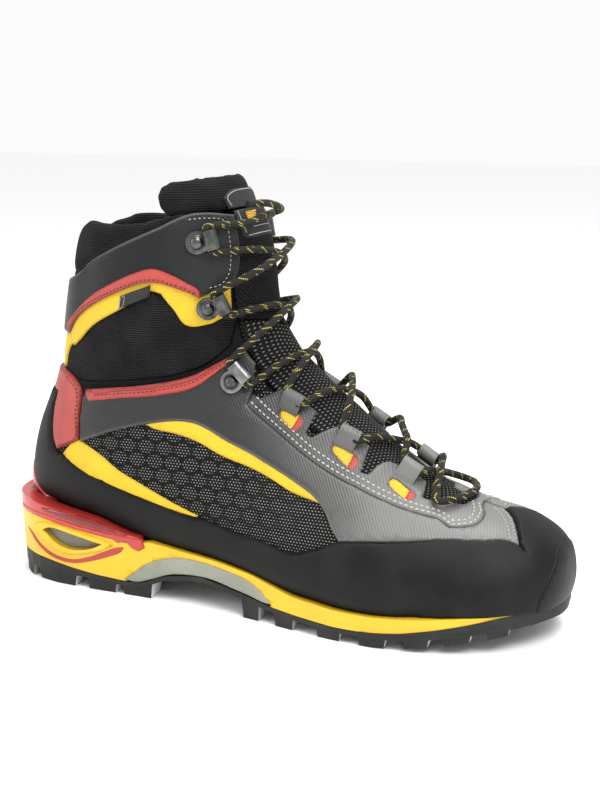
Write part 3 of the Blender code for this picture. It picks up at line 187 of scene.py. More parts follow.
class BootSkin:
    """The outer skin of the textile upper, a smooth surface over s and phi."""

    ROWS = 4
    COLUMNS = 96

    def __init__(self) -> None:
        """Work out the surface's points and normals."""
        keys = np.array([[*sec.front, *sec.back, *sec[2:]] for sec in SECTIONS])
        rows = spline(keys, np.linspace(0, LAST, LAST * self.ROWS + 1))
        angles = np.linspace(-math.pi, math.pi, self.COLUMNS + 1)
        self.grid = self._points(rows.T[:, :, None], angles[None, :])
        along = np.gradient(self.grid, axis=0)
        ring = np.concatenate([self.grid[:, -2:-1], self.grid, self.grid[:, 1:2]], axis=1)
        normal = np.cross(ring[:, 2:] - ring[:, :-2], along)
        normal /= np.maximum(np.linalg.norm(normal, axis=2, keepdims=True), 1e-9)
        outward = self.grid - self.grid[:, :-1].mean(axis=1, keepdims=True)
        flip = np.sign((normal * outward).sum(axis=2, keepdims=True))
        self.normal = normal * np.where(flip == 0, 1, flip)

    @staticmethod
    def _points(row: Array, angle: Array) -> Array:
        """Points of the sections, superellipses whose two ends have their own squareness."""
        fx, fz, bx, bz, wide_out, wide_in, y_front, y_back, widest, p, q = row
        c, sn = np.abs(np.cos(angle)), np.abs(np.sin(angle))
        front = np.abs(angle) <= math.pi / 2 + 1e-9
        power = 2 / np.where(front, p, q)
        t = np.where(front, widest * (1 - c ** power), widest + (1 - widest) * c ** power)
        half = sn ** power * np.where(angle < 0, wide_out, wide_in)
        y = y_front + (y_back - y_front) * t + np.copysign(half, angle)
        return np.stack([fx + (bx - fx) * t, y, fz + (bz - fz) * t], axis=-1)

    def at(self, s: Array | float, phi: Array | float,
           height: Array | float = 0.0) -> Array:
        """Points at a height above the skin.

        Args:
            s: stations along the boot.
            phi: angles round it.
            height: height above the skin.

        Returns:
            An array of points whose last axis is x, y, z.
        """
        row = np.clip(np.asarray(s, float), 0, LAST) * self.ROWS
        i = np.minimum(row.astype(int), LAST * self.ROWS - 1)
        f = (row - i)[..., None]
        column = np.mod(np.asarray(phi, float) + math.pi, 2 * math.pi)
        column = column / (2 * math.pi) * self.COLUMNS
        j = np.minimum(column.astype(int), self.COLUMNS - 1)
        g = (column - j)[..., None]

        def mix(a: Array) -> Array:
            """One array read between its rows and columns."""
            low = a[i, j] * (1 - g) + a[i, j + 1] * g
            return low * (1 - f) + (a[i + 1, j] * (1 - g) + a[i + 1, j + 1] * g) * f

        return mix(self.grid) + np.asarray(height, float)[..., None] * mix(self.normal)

    def point(self, s: float, phi: float, height: float = 0.0) -> Vector:
        """One point at a height above the skin."""
        return Vector(self.at(s, phi, height))

    def frame(self, s: float, phi: float, height: float = 0.0) -> Matrix:
        """Matrix at a point: X along the boot, Y across it, Z away from the skin.

        Args:
            s: station.
            phi: angle.
            height: height above the skin.

        Returns:
            The matrix.
        """
        out = (self.point(s, phi, 1) - self.point(s, phi)).normalized()
        along = self.point(s + 0.2, phi) - self.point(s - 0.2, phi)
        along = (along - out * along.dot(out)).normalized()
        place = Matrix((along, out.cross(along), out)).transposed().to_4x4()
        place.translation = self.point(s, phi, height)
        return place

    @staticmethod
    def locate(x: float, z: float) -> Pair:
        """(s, |phi|) of a point seen from the side.

        Args:
            x: its x.
            z: its height.

        Returns:
            Its station, and its angle without a sign.
        """
        values = np.array([[*sec.front, *sec.back, sec.widest, sec.p, sec.q] for sec in SECTIONS])

        def read(s: float) -> Array:
            """A section's values at any station."""
            i = min(int(s), LAST - 1)
            return values[i] + (values[i + 1] - values[i]) * (s - i)

        low, high = 0.0, float(LAST)
        for _ in range(40):
            mid = (low + high) / 2
            tx, tz, bx, bz = read(mid)[:4]
            if (x - bx) * (tz - bz) - (z - bz) * (tx - bx) > 0:
                high = mid
            else:
                low = mid
        tx, tz, bx, bz, m, p, q = read(low)
        t = ((x - tx) * (bx - tx) + (z - tz) * (bz - tz)) / ((bx - tx) ** 2 + (bz - tz) ** 2)
        t = min(max(t, 0.0), 1.0)
        if t < m:
            return low, math.acos(min(1.0, (1 - t / m) ** (p / 2)))
        return low, math.pi - math.acos(min(1.0, ((t - m) / (1 - m)) ** (q / 2)))


SKIN = BootSkin()


def front_line(z: float) -> float:
    """s on the front and top line at a height."""
    return float(np.interp(z, [sec.front[1] for sec in SECTIONS], range(LAST + 1)))


def back_line(z: float) -> float:
    """s on the heel's back line at a height."""
    values = [sec.back[1] for sec in SECTIONS[HEEL_SECTION:]]
    return float(np.interp(z, values, range(HEEL_SECTION, LAST + 1)))


def mirrored(points: Line, side: int) -> list[Pair]:
    """(s, phi) points of the inside put on one side."""
    return [(s, side * phi) for s, phi in points]


def side_points(points: Line, side: int) -> list[Pair]:
    """(x, z) points on one side as (s, phi) points; side is -1 outside, +1 inside."""
    return mirrored([SKIN.locate(x, z) for x, z in points], side)


def across_front(half: list[Pair]) -> list[Pair]:
    """Outline that crosses the front line, from its (s, phi) half on one side."""
    return half + [(s, -phi) for s, phi in reversed(half) if abs(phi) > TINY]


def across_back(half: list[Pair]) -> list[Pair]:
    """Outline that crosses the back line, from its (s, phi) half with phi up to pi.

    Args:
        half: the half, which touches the back line.

    Returns:
        The whole outline.
    """
    on_line = [i for i, (_, phi) in enumerate(half) if abs(phi) > BACK - TINY]
    half = half[on_line[-1]:] + half[:on_line[0] + 1]
    inside = [(s, abs(phi)) for s, phi in half]
    return inside + [(s, 2 * math.pi - phi) for s, phi in reversed(inside) if phi < BACK - TINY]


# ---------- sheets laid on a surface
def on_upper(u: Array, v: Array, height: Array) -> Array:
    """Points of the upper for places on a flat sheet."""
    return SKIN.at(u / ALONG, v / ROUND, height)


def flat(outline: Line) -> list[Pair]:
    """(s, phi) points as places on a flat sheet."""
    return [(s * ALONG, phi * ROUND) for s, phi in outline]


def smooth_loop(points: Line, corner: float = 38.0, step: float = 2.0) -> Array:
    """Closed outline drawn as curves between its corners.

    Args:
        points: the outline's points, in millimetres.
        corner: turns sharper than this many degrees stay corners.
        step: how far apart the new points lie.

    Returns:
        The new outline's points.
    """
    pts = np.array(points, float)
    pts = pts[np.hypot(*(np.roll(pts, -1, 0) - pts).T) > 0.25]
    span = np.roll(pts, -1, 0) - pts
    length = np.hypot(*span.T)
    unit = span / length[:, None]
    before = np.roll(unit, 1, 0)
    sharp = (unit * before).sum(1) < math.cos(math.radians(corner))
    tangent = unit + before
    tangent /= np.maximum(np.hypot(*tangent.T), TINY)[:, None]
    out = []
    for i in range(len(pts)):
        j = (i + 1) % len(pts)
        a = (unit[i] if sharp[i] else tangent[i]) * length[i]
        b = (unit[i] if sharp[j] else tangent[j]) * length[i]
        count = max(1, math.ceil(length[i] / step))
        for f in np.arange(count) / count:
            out.append(pts[i] * (2 * f ** 3 - 3 * f ** 2 + 1) + a * (f ** 3 - 2 * f ** 2 + f)
                       + pts[j] * (3 * f ** 2 - 2 * f ** 3) + b * (f ** 3 - f ** 2))
    return np.array(out)


def outline_distance(places: Array, loop: Array,
                     flush: Sequence[Array] = ()) -> Array:
    """Distance of each place on a flat sheet to the nearest stretch of an outline.

    Args:
        places: the places.
        loop: the outline.
        flush: lines where the outline meets a neighbour, which don't count as edge.

    Returns:
        One distance for each place.
    """
    a, b = loop, np.roll(loop, -1, 0)
    for line in flush:
        free = [min(line_distance(p, line), line_distance(q, line)) > 0.3 or
                max(line_distance(p, line), line_distance(q, line)) > 1.2 for p, q in zip(a, b)]
        a, b = a[free], b[free]
    span = b - a
    rel = places[:, None, :] - a[None]
    t = np.clip((rel * span).sum(2) / np.maximum((span ** 2).sum(1), 1e-9), 0, 1)
    return np.sqrt(((rel - t[..., None] * span) ** 2).sum(2).min(1))


def line_distance(place: Array, line: Array) -> float:
    """Distance of a place to an open line.

    Args:
        place: the place.
        line: the line's points.

    Returns:
        The distance.
    """
    a, span = line[:-1], np.diff(line, axis=0)
    t = np.clip(((place - a) * span).sum(1) / np.maximum((span ** 2).sum(1), 1e-9), 0, 1)
    return float(np.hypot(*(place - a - t[:, None] * span).T).min())


def cut_grid(bm: BMesh, spacing: Pair) -> None:
    """Cut a flat sheet along evenly spaced lines both ways.

    Args:
        bm: the sheet.
        spacing: distance between the lines, both ways.
    """
    co = np.array([v.co for v in bm.verts])
    for k in (0, 1):
        first = math.ceil(co[:, k].min() / spacing[k] + 0.05)
        last = math.floor(co[:, k].max() / spacing[k] - 0.05)
        normal = (1, 0, 0) if k == 0 else (0, 1, 0)
        for line in range(first, last + 1):
            place = tuple(spacing[k] * line * c for c in normal)
            bmesh.ops.bisect_plane(bm, geom=bm.verts[:] + bm.edges[:] + bm.faces[:], dist=1e-4,
                                   plane_co=place, plane_no=normal)


def extrude(bm: BMesh, faces: Sequence[bmesh.types.BMFace],
            move: Triple) -> tuple[list[bmesh.types.BMVert], list[bmesh.types.BMFace]]:
    """Make faces the two ends of a body, with walls between them.

    Args:
        bm: the mesh.
        faces: the faces, which stay as one end.
        move: from them to the other end.

    Returns:
        The other end's vertices and faces.
    """
    made = bmesh.ops.extrude_face_region(bm, geom=faces, use_keep_orig=True)["geom"]
    verts = [v for v in made if isinstance(v, bmesh.types.BMVert)]
    bmesh.ops.translate(bm, verts=verts, vec=move)
    return verts, [f for f in made if isinstance(f, bmesh.types.BMFace)]


@dataclass(frozen=True)
class Layer:
    """A sheet's place above its surface and the shape of its edge.

    low and high are heights, roll is how wide the rounded edge is, lip is the height of the
    edge's upright part as a share of the thickness, crown and reach are the height and width of
    a soft rise towards the middle.
    """

    low: float
    high: float
    roll: float = 0.8
    lip: float = 0.35
    crown: float = 0.0
    reach: float = 8.0

    def top(self, distance: Array) -> Array:
        """Height of the upper face.

        Args:
            distance: distances from the outline.

        Returns:
            One height for each.
        """
        part = 1 - np.clip(distance / self.roll, 0, 1)
        edge = self.lip + (1 - self.lip) * np.sqrt(1 - part ** 2)
        return self.low + (self.high - self.low) * edge + self.crown * smoothstep(
            distance, 0.0, self.reach)


UPPER_GRID = (ALONG / 4, 2.6)
WALL_GRID = (4.0, 4.0)


def lay(loops: Sequence[Line], place: Place, layer: Layer,
        spacing: Pair = UPPER_GRID, corner: float = 38.0, closed_round: bool = False,
        flush: Sequence[Line] = ()) -> BMesh:
    """Cut sheets to their outlines, lay them on a surface and give them their thickness.

    Args:
        loops: one flat outline, or two halves that meet, in millimetres.
        place: turns places on the flat sheet and heights into points.
        layer: the heights and the edge.
        spacing: distance between the cuts, both ways.
        corner: turns sharper than this stay corners.
        closed_round: the two halves also meet at the back line.
        flush: flat lines along which the sheet meets a neighbour without an edge.

    Returns:
        The closed body, in millimetres.
    """
    bm = bmesh.new()
    outlines = []
    for points in loops:
        loop = smooth_loop(points, corner)
        if closed_round:
            limit = math.copysign(BACK * ROUND, points[1][1])
            loop[:, 1] = np.clip(loop[:, 1], *sorted((0, limit)))
        outlines.append(loop)
        bm.faces.new([bm.verts.new((u, v, 0.0)) for u, v in loop])
    if not closed_round:
        for width in (layer.roll * 0.3, layer.roll * 0.7):
            inner = [f for f in bm.faces if len(f.verts) > 8]
            bmesh.ops.inset_region(bm, faces=inner, thickness=width, depth=0.0,
                                   use_boundary=True, use_even_offset=True)
    cut_grid(bm, spacing)
    bmesh.ops.remove_doubles(bm, verts=bm.verts, dist=1e-3)
    extrude(bm, bm.faces[:], (0, 0, 1))
    if closed_round:
        back = BACK * ROUND - 1e-3
        seam = [f for f in bm.faces if all(abs(v.co.y) > back for v in f.verts)]
        bmesh.ops.delete(bm, geom=seam, context="FACES")
    co = np.array([v.co for v in bm.verts])
    distance = np.full(len(co), layer.roll) if closed_round else outline_distance(
        co[:, :2], np.vstack(outlines), [np.array(line) for line in flush])
    height = np.where(co[:, 2] > 0.5, layer.top(distance), layer.low)
    edge = bm.verts.layers.float.new("edge_distance")
    for v, point, d in zip(bm.verts, place(co[:, 0], co[:, 1], height), distance):
        v.co = point
        v[edge] = d * MM
    bmesh.ops.remove_doubles(bm, verts=bm.verts, dist=2e-3)
    bmesh.ops.recalc_face_normals(bm, faces=bm.faces)
    return bm


def make_object(name: str, bm: BMesh, material: Material,
                sharp: float = 50.0) -> Object:
    """Turn a bmesh in millimetres into a named object with its place in its mesh.

    Args:
        name: the piece's name.
        bm: its body, which is freed.
        material: its finish.
        sharp: edges that turn more than this many degrees are shaded sharp.

    Returns:
        The new object.
    """
    bmesh.ops.translate(bm, verts=bm.verts, vec=SHIFT)
    bmesh.ops.transform(bm, matrix=Matrix.Scale(MM, 4), verts=bm.verts)
    mesh = bpy.data.meshes.new(name)
    bm.to_mesh(mesh)
    bm.free()
    obj = bpy.data.objects.new(name, mesh)
    bpy.context.scene.collection.objects.link(obj)
    mesh.materials.append(material)
    mesh.shade_smooth()
    mesh.set_sharp_from_angle(angle=math.radians(sharp))
    return obj


def apply_modifiers(obj: Object) -> None:
    """Make an object's evaluated mesh its own mesh.

    Args:
        obj: the object, which loses its modifiers.
    """
    bpy.context.view_layer.update()
    graph = bpy.context.evaluated_depsgraph_get()
    mesh = bpy.data.meshes.new_from_object(obj.evaluated_get(graph))
    obj.modifiers.clear()
    obj.data = mesh


def cut_away(obj: Object, bm: BMesh) -> None:
    """Cut a body in millimetres out of an object.

    Args:
        obj: the object.
        bm: the body, which is freed.
    """
    tool = make_object("cutting_body", bm, obj.data.materials[0])
    cut = obj.modifiers.new("cut", "BOOLEAN")
    cut.operation = "DIFFERENCE"
    cut.solver = "EXACT"
    cut.object = tool
    apply_modifiers(obj)
    bpy.data.objects.remove(tool, do_unlink=True)


class Body(Enum):
    """The boot's moving bodies."""

    LOWER = "boot_lower"
    CUFF = "cuff"
    TONGUE = "tongue_flap"


@dataclass(frozen=True)
class Bend:
    """A stretch of fabric that turns from the lower body to the cuff between two places."""

    start: Triple
    end: Triple


def place_piece(obj: Object, body: Body | Bend,
                nodes: Sequence[str] = ()) -> Object:
    """Give a finished piece its body and the CAD nodes that it stands for.

    Args:
        obj: the piece.
        body: the body it moves with, or a Bend between two bodies, which leaves the piece in place
            without a body.
        nodes: CAD nodes that it replaces.

    Returns:
        The piece.
    """
    if isinstance(body, Bend):
        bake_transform(obj)
    else:
        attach(obj, body.value)
    if nodes:
        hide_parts(*nodes)
    LOG.info("%-28s %6d faces", obj.name, len(obj.data.polygons))
    return obj


# ---------- finishes
class Graph:
    """Short ways to add nodes to a material's or a group's tree."""

    def __init__(self, tree: Tree) -> None:
        """Keep the tree that nodes are added to."""
        self.tree = tree

    def add(self, kind: str, *inputs: object, out: int | str = 0,
            named: dict[str, object] | None = None, **settings: object) -> Socket:
        """Add a node.

        Args:
            kind: the node's class name after ShaderNode.
            inputs: sockets to link or values to set, in order; None leaves one alone.
            out: which output to return.
            named: further inputs by name.
            settings: the node's own properties.

        Returns:
            The chosen output socket.
        """
        node = self.tree.nodes.new("ShaderNode" + kind)
        for key, value in settings.items():
            setattr(node, key, value)
        wanted = list(enumerate(inputs)) + list((named or {}).items())
        for key, value in wanted:
            if value is None:
                continue
            if isinstance(value, Socket):
                self.tree.links.new(value, node.inputs[key])
            else:
                node.inputs[key].default_value = value
        return node.outputs[out]

    def math(self, operation: str, a: object, b: object = None,
             c: object = None) -> Socket:
        """Add a Math node."""
        return self.add("Math", a, b, c, operation=operation)

    def times(self, a: object, b: object) -> Socket:
        """Product of two values."""
        return self.math("MULTIPLY", a, b)

    def plus(self, a: object, b: object) -> Socket:
        """Sum of two values."""
        return self.math("ADD", a, b)

    def dot(self, vector: Socket, direction: Sequence[float]) -> Socket:
        """Length of a vector along a direction."""
        return self.add("VectorMath", vector, tuple(direction), operation="DOT_PRODUCT", out=1)

    def ramp(self, value: object, low: float, high: float, start: float = 0.0,
             end: float = 1.0) -> Socket:
        """A value mapped smoothly from one range to another."""
        return self.add("MapRange", value, low, high, start, end, interpolation_type="SMOOTHSTEP")

    def mix(self, factor: object, a: object, b: object) -> Socket:
        """Two colours mixed.

        Args:
            factor: share of the second, a value or a socket.
            a: the first colour or its socket.
            b: the second.

        Returns:
            The mixed colour.
        """
        a, b = ((*c, 1.0) if isinstance(c, tuple) else c for c in (a, b))
        node = self.tree.nodes.new("ShaderNodeMix")
        node.data_type = "RGBA"
        for index, value in ((0, factor), (6, a), (7, b)):
            if isinstance(value, Socket):
                self.tree.links.new(value, node.inputs[index])
            else:
                node.inputs[index].default_value = value
        return node.outputs[2]


def new_group(name: str, inputs: Sequence[tuple[str, str, float]],
              outputs: Sequence[str]) -> tuple[Tree, Graph, dict]:
    """Start a node group with named sockets.

    Args:
        name: the group's name.
        inputs: name, socket type and default of each input.
        outputs: names of its float outputs.

    Returns:
        The tree, its graph, and its input sockets by name.
    """
    tree = bpy.data.node_groups.new(name, "ShaderNodeTree")
    for label, kind, default in inputs:
        socket = tree.interface.new_socket(label, in_out="INPUT", socket_type=kind)
        if kind == "NodeSocketFloat":
            socket.default_value = default
    for label in outputs:
        tree.interface.new_socket(label, in_out="OUTPUT", socket_type="NodeSocketFloat")
    source = tree.nodes.new("NodeGroupInput")
    return tree, Graph(tree), {s.name: s for s in source.outputs}


def close_group(tree: Tree, values: dict[str, Socket]) -> None:
    """Wire a group's results to its outputs.

    Args:
        tree: the group.
        values: a socket for each output's name.
    """
    sink = tree.nodes.new("NodeGroupOutput")
    for label, socket in values.items():
        tree.links.new(socket, sink.inputs[label])


def grey(value: float) -> Triple:
    """A colour without hue."""
    return value, value, value


SHAFT_BEHIND, SHAFT_GIRTH = 0.066, 0.27     # metres: its axis behind the origin, its girth
INSTEP_SLOPE = (-0.66, 0, 0.75)


class Patterns:
    """Node groups that several finishes share."""

    def __init__(self) -> None:
        """Build the groups."""
        self.cells = self._cells()
        self.shaft = self._shaft()
        self.stains = self._stains()

    @staticmethod
    def _cells() -> Tree:
        """Rows of staggered round cells, for knits, meshes and dots."""
        tree, g, value = new_group(
            "staggered_cells", [("U", "NodeSocketFloat", 0.0), ("V", "NodeSocketFloat", 0.0)],
            ["Radius", "Row"])
        row = g.math("FLOOR", value["V"])
        shift = g.times(g.math("MODULO", g.math("ABSOLUTE", row), 2.0), 0.5)
        u = g.math("SUBTRACT", g.math("FRACT", g.plus(value["U"], shift)), 0.5)
        v = g.math("SUBTRACT", g.math("FRACT", value["V"]), 0.5)
        square = g.plus(g.times(u, u), g.times(v, v))
        close_group(tree, {"Radius": g.math("SQRT", square), "Row": row})
        return tree

    @staticmethod
    def _shaft() -> Tree:
        """Angle round the shaft, in turns."""
        tree, g, value = new_group("shaft_turns", [("Vector", "NodeSocketVector", 0.0)], ["Turn"])
        parts = g.tree.nodes.new("ShaderNodeSeparateXYZ")
        tree.links.new(value["Vector"], parts.inputs[0])
        x = g.plus(parts.outputs["X"], SHAFT_BEHIND)
        angle = g.math("ARCTAN2", parts.outputs["Y"], x)
        close_group(tree, {"Turn": g.math("DIVIDE", angle, 2 * math.pi)})
        return tree

    @staticmethod
    def _stains() -> Tree:
        """Broad tone and fine grain from noise."""
        tree, g, value = new_group(
            "tone_and_grain", [("Vector", "NodeSocketVector", 0.0),
                               ("Broad", "NodeSocketFloat", 40.0),
                               ("Fine", "NodeSocketFloat", 900.0)], ["Tone", "Grain"])
        tone = g.add("TexNoise", value["Vector"], named={"Scale": value["Broad"], "Detail": 3.0})
        grain = g.add("TexNoise", value["Vector"], named={"Scale": value["Fine"], "Detail": 2.0})
        close_group(tree, {"Tone": tone, "Grain": grain})
        return tree


PATTERNS = Patterns()


class Weave(Enum):
    """How a pattern is spread over a piece."""

    SIDE = "side"
    TOP = "top"
    SHAFT = "shaft"


class Dressing(Graph):
    """A material being made: its Principled shader, its coordinates and shared patterns."""

    def __init__(self, name: str, roughness: float, metallic: float = 0.0,
                 **constants: float) -> None:
        """Start a material.

        Args:
            name: its name.
            roughness: the shader's roughness where nothing changes it.
            metallic: the shader's metallic value.
            constants: further constant inputs, with _ for spaces.
        """
        self.material = bpy.data.materials.new(name)
        self.material.use_nodes = True
        super().__init__(self.material.node_tree)
        self.shader = self.tree.nodes["Principled BSDF"]
        self.shader.inputs["Roughness"].default_value = roughness
        self.shader.inputs["Metallic"].default_value = metallic
        for key, value in constants.items():
            self.shader.inputs[key.replace("_", " ")].default_value = value
        self.coords = self.add("TexCoord", out="Object")

    def group(self, tree: Tree, **inputs: object) -> dict:
        """Place a shared group.

        Args:
            tree: the group.
            inputs: a socket or a value for each input's name.

        Returns:
            Its outputs by name.
        """
        node = self.tree.nodes.new("ShaderNodeGroup")
        node.node_tree = tree
        for key, value in inputs.items():
            if isinstance(value, Socket):
                self.tree.links.new(value, node.inputs[key])
            else:
                node.inputs[key].default_value = value
        return {s.name: s for s in node.outputs}

    def cell_radius(self, u: Socket, v: Socket) -> Socket:
        """Distance to the middle of the nearest cell of a knit or mesh."""
        return self.group(PATTERNS.cells, U=u, V=v)["Radius"]

    def stains(self, broad: float, fine: float) -> dict[str, Socket]:
        """Tone and grain of the piece, at two scales."""
        return self.group(PATTERNS.stains, Vector=self.coords, Broad=broad, Fine=fine)

    def attribute(self, name: str) -> Socket:
        """A float that the piece carries on its points."""
        return self.add("Attribute", attribute_name=name, out="Fac")

    def spread(self, weave: Weave, pitch_u: float, pitch_v: float,
               slant: float = 0.0) -> tuple[Socket, Socket]:
        """Pattern coordinates counted in cells.

        Args:
            weave: how the pattern lies on the piece.
            pitch_u: cell size along the boot or round the shaft, in metres.
            pitch_v: cell size the other way, in metres.
            slant: turn of the pattern, in degrees.

        Returns:
            The two coordinates.
        """
        a = math.radians(slant)
        if weave is Weave.SHAFT:
            turn = self.group(PATTERNS.shaft, Vector=self.coords)["Turn"]
            u = self.times(turn, round(SHAFT_GIRTH / pitch_u))
            v = self.dot(self.coords, (0, 0, 1 / pitch_v))
            return (self.plus(u, self.times(v, round(math.tan(a)))), v)
        if weave is Weave.SIDE:
            across, up = np.array([1.0, 0, 0]), np.array([0, 0, 1.0])
        else:
            across, up = np.array([0, 1.0, 0]), np.array(INSTEP_SLOPE)
        u = across * math.cos(a) + up * math.sin(a)
        v = up * math.cos(a) - across * math.sin(a)
        return self.dot(self.coords, u / pitch_u), self.dot(self.coords, v / pitch_v)

    def bump(self, height: Socket, depth: float) -> None:
        """Wire a height in metres times depth into the shader's normal."""
        normal = self.add("Bump", 1.0, depth, named={"Height": height})
        self.tree.links.new(normal, self.shader.inputs["Normal"])

    def paint(self, colour: Socket | Triple) -> None:
        """Set the base colour.

        Args:
            colour: a socket, or one colour for the whole surface.
        """
        if isinstance(colour, tuple):
            self.shader.inputs["Base Color"].default_value = (*colour, 1.0)
        else:
            self.tree.links.new(colour, self.shader.inputs["Base Color"])

    def rough(self, value: Socket) -> None:
        """Wire a roughness that changes over the surface."""
        self.tree.links.new(value, self.shader.inputs["Roughness"])


@dataclass(frozen=True)
class Knit:
    """Padded black knit: slanting stitches with a paler thread on their crowns."""

    name: str = "black_knit"
    weave: Weave = Weave.SHAFT
    dark: Triple = grey(0.0015)
    pale: Triple = grey(0.028)
    pitch: float = 0.0016

    def build(self) -> Material:
        """Make the material."""
        d = Dressing(self.name, 0.85, Specular_IOR_Level=0.12)
        u, v = d.spread(self.weave, self.pitch, self.pitch * 0.75, 45)
        radius = d.cell_radius(u, v)
        crown = d.ramp(radius, 0.62, 0.12)
        tone = d.stains(60.0, 1400.0)
        level = d.times(crown, d.ramp(tone["Tone"], 0.3, 0.75, 0.45, 1.0))
        d.paint(d.mix(level, self.dark, self.pale))
        height = d.plus(crown, d.times(tone["Grain"], 0.5))
        d.bump(height, 0.0005)
        return d.material


@dataclass(frozen=True)
class FleckedMesh:
    """Black mesh with rows of small pale flecks, which may gather in clusters."""

    name: str
    weave: Weave
    clusters: bool = False
    fleck: Triple = (0.3, 0.3, 0.28)
    slant: float = -58.0
    pitch: float = 0.00175

    def build(self) -> Material:
        """Make the material."""
        d = Dressing(self.name, 0.8, Specular_IOR_Level=0.12)
        u, v = d.spread(self.weave, self.pitch, self.pitch * 0.82, 0.0 if self.clusters else -30.0)
        radius = d.cell_radius(u, v)
        fleck = d.ramp(radius, 0.27, 0.13)
        if self.clusters:
            cu, cv = d.spread(self.weave, self.pitch * 6, self.pitch * 4.1, 0.0)
            gather = d.ramp(d.cell_radius(cu, cv), 0.5, 0.42)
            lower = d.ramp(d.dot(d.coords, (1.0, 0, -0.9)), -0.09, 0.02, 0.0, 0.8)
            gather = d.math("MAXIMUM", gather, lower)
            below = d.ramp(d.dot(d.coords, (-0.22, 0, 1.0)), 0.129, 0.126)
            fleck = d.times(fleck, d.times(gather, below))
        fine_u, fine_v = d.spread(self.weave, 0.0011, 0.0011, self.slant)
        knit = d.cell_radius(fine_u, fine_v)
        cloth = d.mix(d.ramp(knit, 0.6, 0.1), grey(0.0015), grey(0.012))
        d.paint(d.mix(fleck, cloth, self.fleck))
        height = d.plus(fleck, d.times(d.ramp(knit, 0.6, 0.1), 0.6))
        d.bump(height, 0.0004)
        return d.material


@dataclass(frozen=True)
class RibbedCoat:
    """Grey coated fabric with fine slanting ribs, with a painted sheen that makes it paler towards
    the toe and painted shade in the grooves between ribs.
    """

    name: str = "grey_ribbed_coat"
    direction: Triple = (0.86, 0.0, 0.51)
    pitch: float = 0.00125
    # dark and pale are the unlit and lit ends of a painted sheen that runs along x
    dark: Triple = (0.011, 0.0115, 0.012)
    pale: Triple = (0.14, 0.14, 0.134)
    sheen_span: Pair = (-0.035, 0.11)
    smooth_rear: Pair = (-0.112, -0.085)
    shine: float = 0.38

    def build(self) -> Material:
        """Make the material."""
        d = Dressing(self.name, 0.4, Specular_IOR_Level=self.shine)
        phase = d.dot(d.coords, np.array(self.direction) / self.pitch * 2 * math.pi)
        rib = d.plus(d.times(d.math("SINE", phase), 0.5), 0.5)
        rib = d.math("POWER", rib, 0.7)
        x = d.dot(d.coords, (1, 0, 0))
        ribbed = d.times(d.ramp(x, *self.smooth_rear), d.ramp(x, 0.01, 0.085, 1.0, 0.3))
        tone = d.stains(26.0, 700.0)
        # painted sheen: the colour goes from dark to pale along x, with a little random tone, so
        # the front looks lit
        shade = d.plus(x, d.ramp(tone["Tone"], 0.3, 0.7, -0.012, 0.012))
        base = d.mix(d.ramp(shade, *self.sheen_span), self.dark, self.pale)
        # painted shade: the grooves between the ribs are painted nearly black
        groove = d.times(d.math("SUBTRACT", 1.0, rib), ribbed)
        lined = d.mix(d.times(groove, 0.7), base, grey(0.003))
        edge = d.ramp(d.attribute("edge_distance"), 0.0011, 0.0004)
        d.paint(d.mix(d.times(edge, 0.25), lined, (0.2, 0.2, 0.19)))
        d.rough(d.ramp(tone["Tone"], 0.3, 0.7, 0.36, 0.5))
        d.bump(d.times(rib, ribbed), 0.00016)
        return d.material


@dataclass(frozen=True)
class FlatCoat:
    """Matte coated fabric or webbing in one colour, with a fine weave and darker edges."""

    name: str
    colour: Triple
    shade: Triple
    roughness: float = 0.55
    weave: Weave = Weave.SIDE
    pitch: float = 0.0008
    depth: float = 0.00012
    holes: float = 0.0

    def build(self) -> Material:
        """Make the material."""
        d = Dressing(self.name, self.roughness)
        u, v = d.spread(self.weave, self.pitch, self.pitch, 45)
        radius = d.cell_radius(u, v)
        cell = d.ramp(radius, 0.62, 0.1)
        tone = d.stains(45.0, 1200.0)
        worn = d.times(d.ramp(tone["Tone"], 0.35, 0.75), 0.28)
        base = d.mix(worn, self.colour, self.shade)
        if self.holes:
            rear = d.ramp(d.dot(d.coords, (1, 0, -0.12)), -0.1235, -0.1255)
            hole = d.times(d.ramp(radius, 0.34, 0.22), rear)
            base = d.mix(d.times(hole, self.holes), base, self.shade)
        edge = d.ramp(d.attribute("edge_distance"), 0.0009, 0.0002, 0.0, 0.6)
        d.paint(d.mix(edge, base, self.shade))
        d.rough(d.ramp(tone["Grain"], 0.3, 0.7, self.roughness - 0.06, self.roughness + 0.08))
        d.bump(d.plus(cell, tone["Grain"]), self.depth)
        return d.material


@dataclass(frozen=True)
class Moulded:
    """Moulded rubber, foam or plastic with a fine grain and faint scuffs."""

    name: str
    colour: Triple
    scuff: Triple
    roughness: float
    grain: float = 700.0
    depth: float = 0.00008
    coat: float = 0.0
    scuffed: float = 0.5
    shine: float = 0.5

    def build(self) -> Material:
        """Make the material."""
        d = Dressing(self.name, self.roughness, Coat_Weight=self.coat, Coat_Roughness=0.15,
                     Specular_IOR_Level=self.shine)
        tone = d.stains(34.0, self.grain)
        amount = d.ramp(tone["Tone"], 0.4, 0.8, 0.0, self.scuffed)
        d.paint(d.mix(amount, self.colour, self.scuff))
        d.rough(d.ramp(tone["Tone"], 0.3, 0.75, self.roughness - 0.07, self.roughness + 0.1))
        d.bump(tone["Grain"], self.depth)
        return d.material


